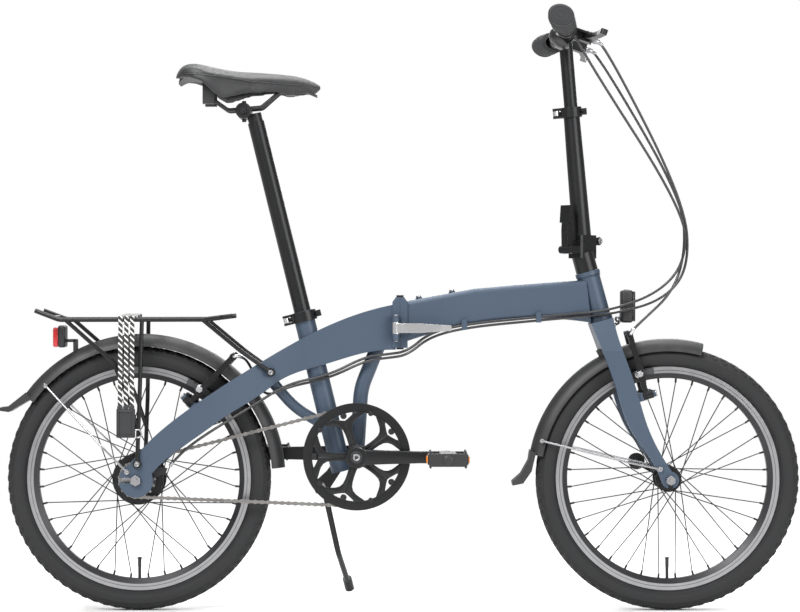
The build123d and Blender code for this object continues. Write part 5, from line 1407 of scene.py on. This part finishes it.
class BICYCLE_OT_cables(bpy.types.Operator):
    """Adds the brake and gear cables, their sleeves and the brake pipes"""

    bl_idname = "bicycle.cables"
    bl_label = "Cables"

    def execute(self, context):
        r = sizes().cable_r
        bx, _, bz = REAR_BOSS @ Vector((0.117, 0, 0.001))
        rear = [lever_exit(-1, 0), lever_exit(-1, 0.012)] + mm(
            [(536, -34, 776), (547, -28, 650), (498, -31, 588), (402, -32, 561.5), (330, -27.8, 555.5),
             (266, -27.2, 549.8), (128, -27.2, 536.6), (56, -27.2, 518.5), (14, -27.2, 483.5), (-24, -27.2, 478.5),
             (-64, -27, 474), (-134, -27, 440), (-212, -27, 424), (-260, -11, 402), (-286, -12, 472),
             (-304, -47, 484)]) + [Vector((bx, -0.044, bz)), Vector((bx, -0.028, bz))]
        line = cable("rear_brake_cable", rear, [((536, -33, 790), "handlebar", "handlepost"),
                                                ((545, -29, 665), "handlepost", "fork"),
                                                ((402, -32, 562), "fork", "front_frame"),
                                                ((40, -27.2, 505), "front_frame"),
                                                ((-24, -27.2, 479), "front_frame", "rear_frame"),
                                                (None, "rear_frame")], r)
        brake_pipe(line, "rear_brake_pipe", "rear_frame")
        complete(ferrule(line, 0, 1, 0.0026), "right_lever_sleeve", finish("steel"), "handlebar")

        start = bar(-0.128)
        shift = [start + Vector((0.016, 0, -0.014)), bar(-0.126) + Vector((0.028, 0.004, -0.042))] + mm(
            [(538, -40, 752), (538, -35, 660), (490, -37, 603), (400, -38, 569), (330, -28, 562), (266, -27.2, 556),
             (128, -27.2, 543), (56, -27.2, 526.5), (14, -27.2, 490.6), (-24, -27.2, 485.5), (-66, -27.5, 481),
             (-134, -33, 446), (-212, -36, 430), (-266, -48, 396), (-384, -71, 324), (-424, -64, 287),
             (-431, -59.5, 276.5)])
        line = cable("shift_cable", shift, [((534, -40, 768), "handlebar", "handlepost"),
                                            ((536, -36, 665), "handlepost", "fork"),
                                            ((400, -38, 570), "fork", "front_frame"),
                                            ((40, -27.2, 513), "front_frame"),
                                            ((-24, -27.2, 486), "front_frame", "rear_frame"),
                                            (None, "rear_frame")], r)
        complete(ferrule(line, len(line) - 1, -1, 0.0026), "shift_sleeve", finish("steel"), "rear_frame")

        fx, _, fz = FRONT_BOSS @ Vector((0.117, 0, 0.001))
        front = [lever_exit(1, 0), lever_exit(1, 0.012)] + mm(
            [(532, -6, 786), (542, -14, 690), (520, -14, 606), (452, -51, 546), (434, -53, 528)]) + [
            Vector((fx, -0.048, fz)), Vector((fx, -0.028, fz))]
        line = cable("front_brake_cable", front, [((532, -8, 785), "handlebar", "handlepost"),
                                                  ((540, -14, 690), "handlepost", "fork"), (None, "fork")], r)
        brake_pipe(line, "front_brake_pipe", "fork")
        complete(ferrule(line, 0, 1, 0.0026), "left_lever_sleeve", finish("steel"), "handlebar")
        return {"FINISHED"}


# ------------------------------------- stage -------------------------------------
class BICYCLE_OT_stage(bpy.types.Operator):
    """Adds the pale floor, the soft studio lights and the camera"""

    bl_idname = "bicycle.stage"
    bl_label = "Stage"

    def execute(self, context):
        clear()
        bpy.ops.mesh.primitive_circle_add(vertices=96, radius=9.0, fill_type="NGON", location=(0, 0, 0))
        ground = bpy.context.object
        edit(ground)
        bpy.ops.mesh.inset(thickness=3.0)
        done()
        ground.name = ground.data.name = "floor"
        ground.data.materials.append(finish("floor"))
        world = bpy.data.worlds.new("pale_room")
        context.scene.world = world
        world.use_nodes = True
        tree = world.node_tree
        back, out = tree.nodes["Background"], tree.nodes["World Output"]
        back.inputs[0].default_value, back.inputs[1].default_value = (1, 1, 1, 1), 0.42
        seen, ray, mix = (tree.nodes.new("ShaderNode" + kind) for kind in ("Background", "LightPath", "MixShader"))
        seen.inputs[0].default_value = (1, 1, 1, 1)
        for a, b in ((ray.outputs["Is Camera Ray"], mix.inputs[0]), (back.outputs[0], mix.inputs[1]),
                     (seen.outputs[0], mix.inputs[2]), (mix.outputs[0], out.inputs[0])):
            tree.links.new(a, b)
        for name, place_at, size, power in (("key", (-1.8, -3.2, 3.2), 2.2, 200), ("fill", (2.8, -3.0, 1.6), 2.6, 90),
                                            ("top", (0.0, 0.4, 3.6), 3.0, 150), ("back", (0.8, 3.4, 2.2), 2.4, 70)):
            data = bpy.data.lights.new(name, "AREA")
            data.shape, data.size, data.energy = "DISK", size, power
            lamp = bpy.data.objects.new(name, data)
            context.scene.collection.objects.link(lamp)
            lamp.location = place_at
            lamp.rotation_euler = (Vector((0, 0, 0.5)) - Vector(place_at)).to_track_quat("-Z", "Y").to_euler()
        context.scene.view_settings.view_transform = "Standard"
        data = bpy.data.cameras.new("camera")
        data.sensor_width, data.lens = 36.0, 113.7
        data.clip_end = 60.0
        camera = bpy.data.objects.new("camera", data)
        context.scene.collection.objects.link(camera)
        camera.location, camera.rotation_euler = (0.0, -4.8, 0.57665), (radians(90), 0, 0)
        context.scene.camera = camera
        return {"FINISHED"}


# ----------------------------------- add-on -----------------------------------
STEPS = (BICYCLE_OT_finishes, BICYCLE_OT_tyres, BICYCLE_OT_wheel_trim, BICYCLE_OT_chain, BICYCLE_OT_crank_trim,
         BICYCLE_OT_saddle, BICYCLE_OT_seat_trim, BICYCLE_OT_grips, BICYCLE_OT_bar_trim, BICYCLE_OT_straps,
         BICYCLE_OT_lights, BICYCLE_OT_brakes, BICYCLE_OT_fasteners, BICYCLE_OT_welds, BICYCLE_OT_cables,
         BICYCLE_OT_stage)


class BICYCLE_PT_panel(bpy.types.Panel):
    """Sizes, colours and steps of the bicycle"""

    bl_label = "Folding Bicycle"
    bl_idname = "BICYCLE_PT_panel"
    bl_space_type = "VIEW_3D"
    bl_region_type = "UI"
    bl_category = "Folding Bicycle"

    def draw(self, context):
        for group in (context.scene.bicycle_colours, context.scene.bicycle_sizes):
            box = self.layout.box()
            for key in group.bl_rna.properties.keys():
                if key not in ("rna_type", "name"):
                    box.prop(group, key)
        for step in STEPS:
            self.layout.operator(step.bl_idname)


CLASSES = (BicycleColours, BicycleSizes, *STEPS, BICYCLE_PT_panel)


def register():
    for cls in CLASSES:
        bpy.utils.register_class(cls)
    bpy.types.Scene.bicycle_colours = bpy.props.PointerProperty(type=BicycleColours)
    bpy.types.Scene.bicycle_sizes = bpy.props.PointerProperty(type=BicycleSizes)


def unregister():
    del bpy.types.Scene.bicycle_colours, bpy.types.Scene.bicycle_sizes
    for cls in reversed(CLASSES):
        bpy.utils.unregister_class(cls)


def main():
    register()
    for step in STEPS:
        getattr(bpy.ops.bicycle, step.bl_idname.split(".")[1])()


if __name__ == "__main__":
    main()
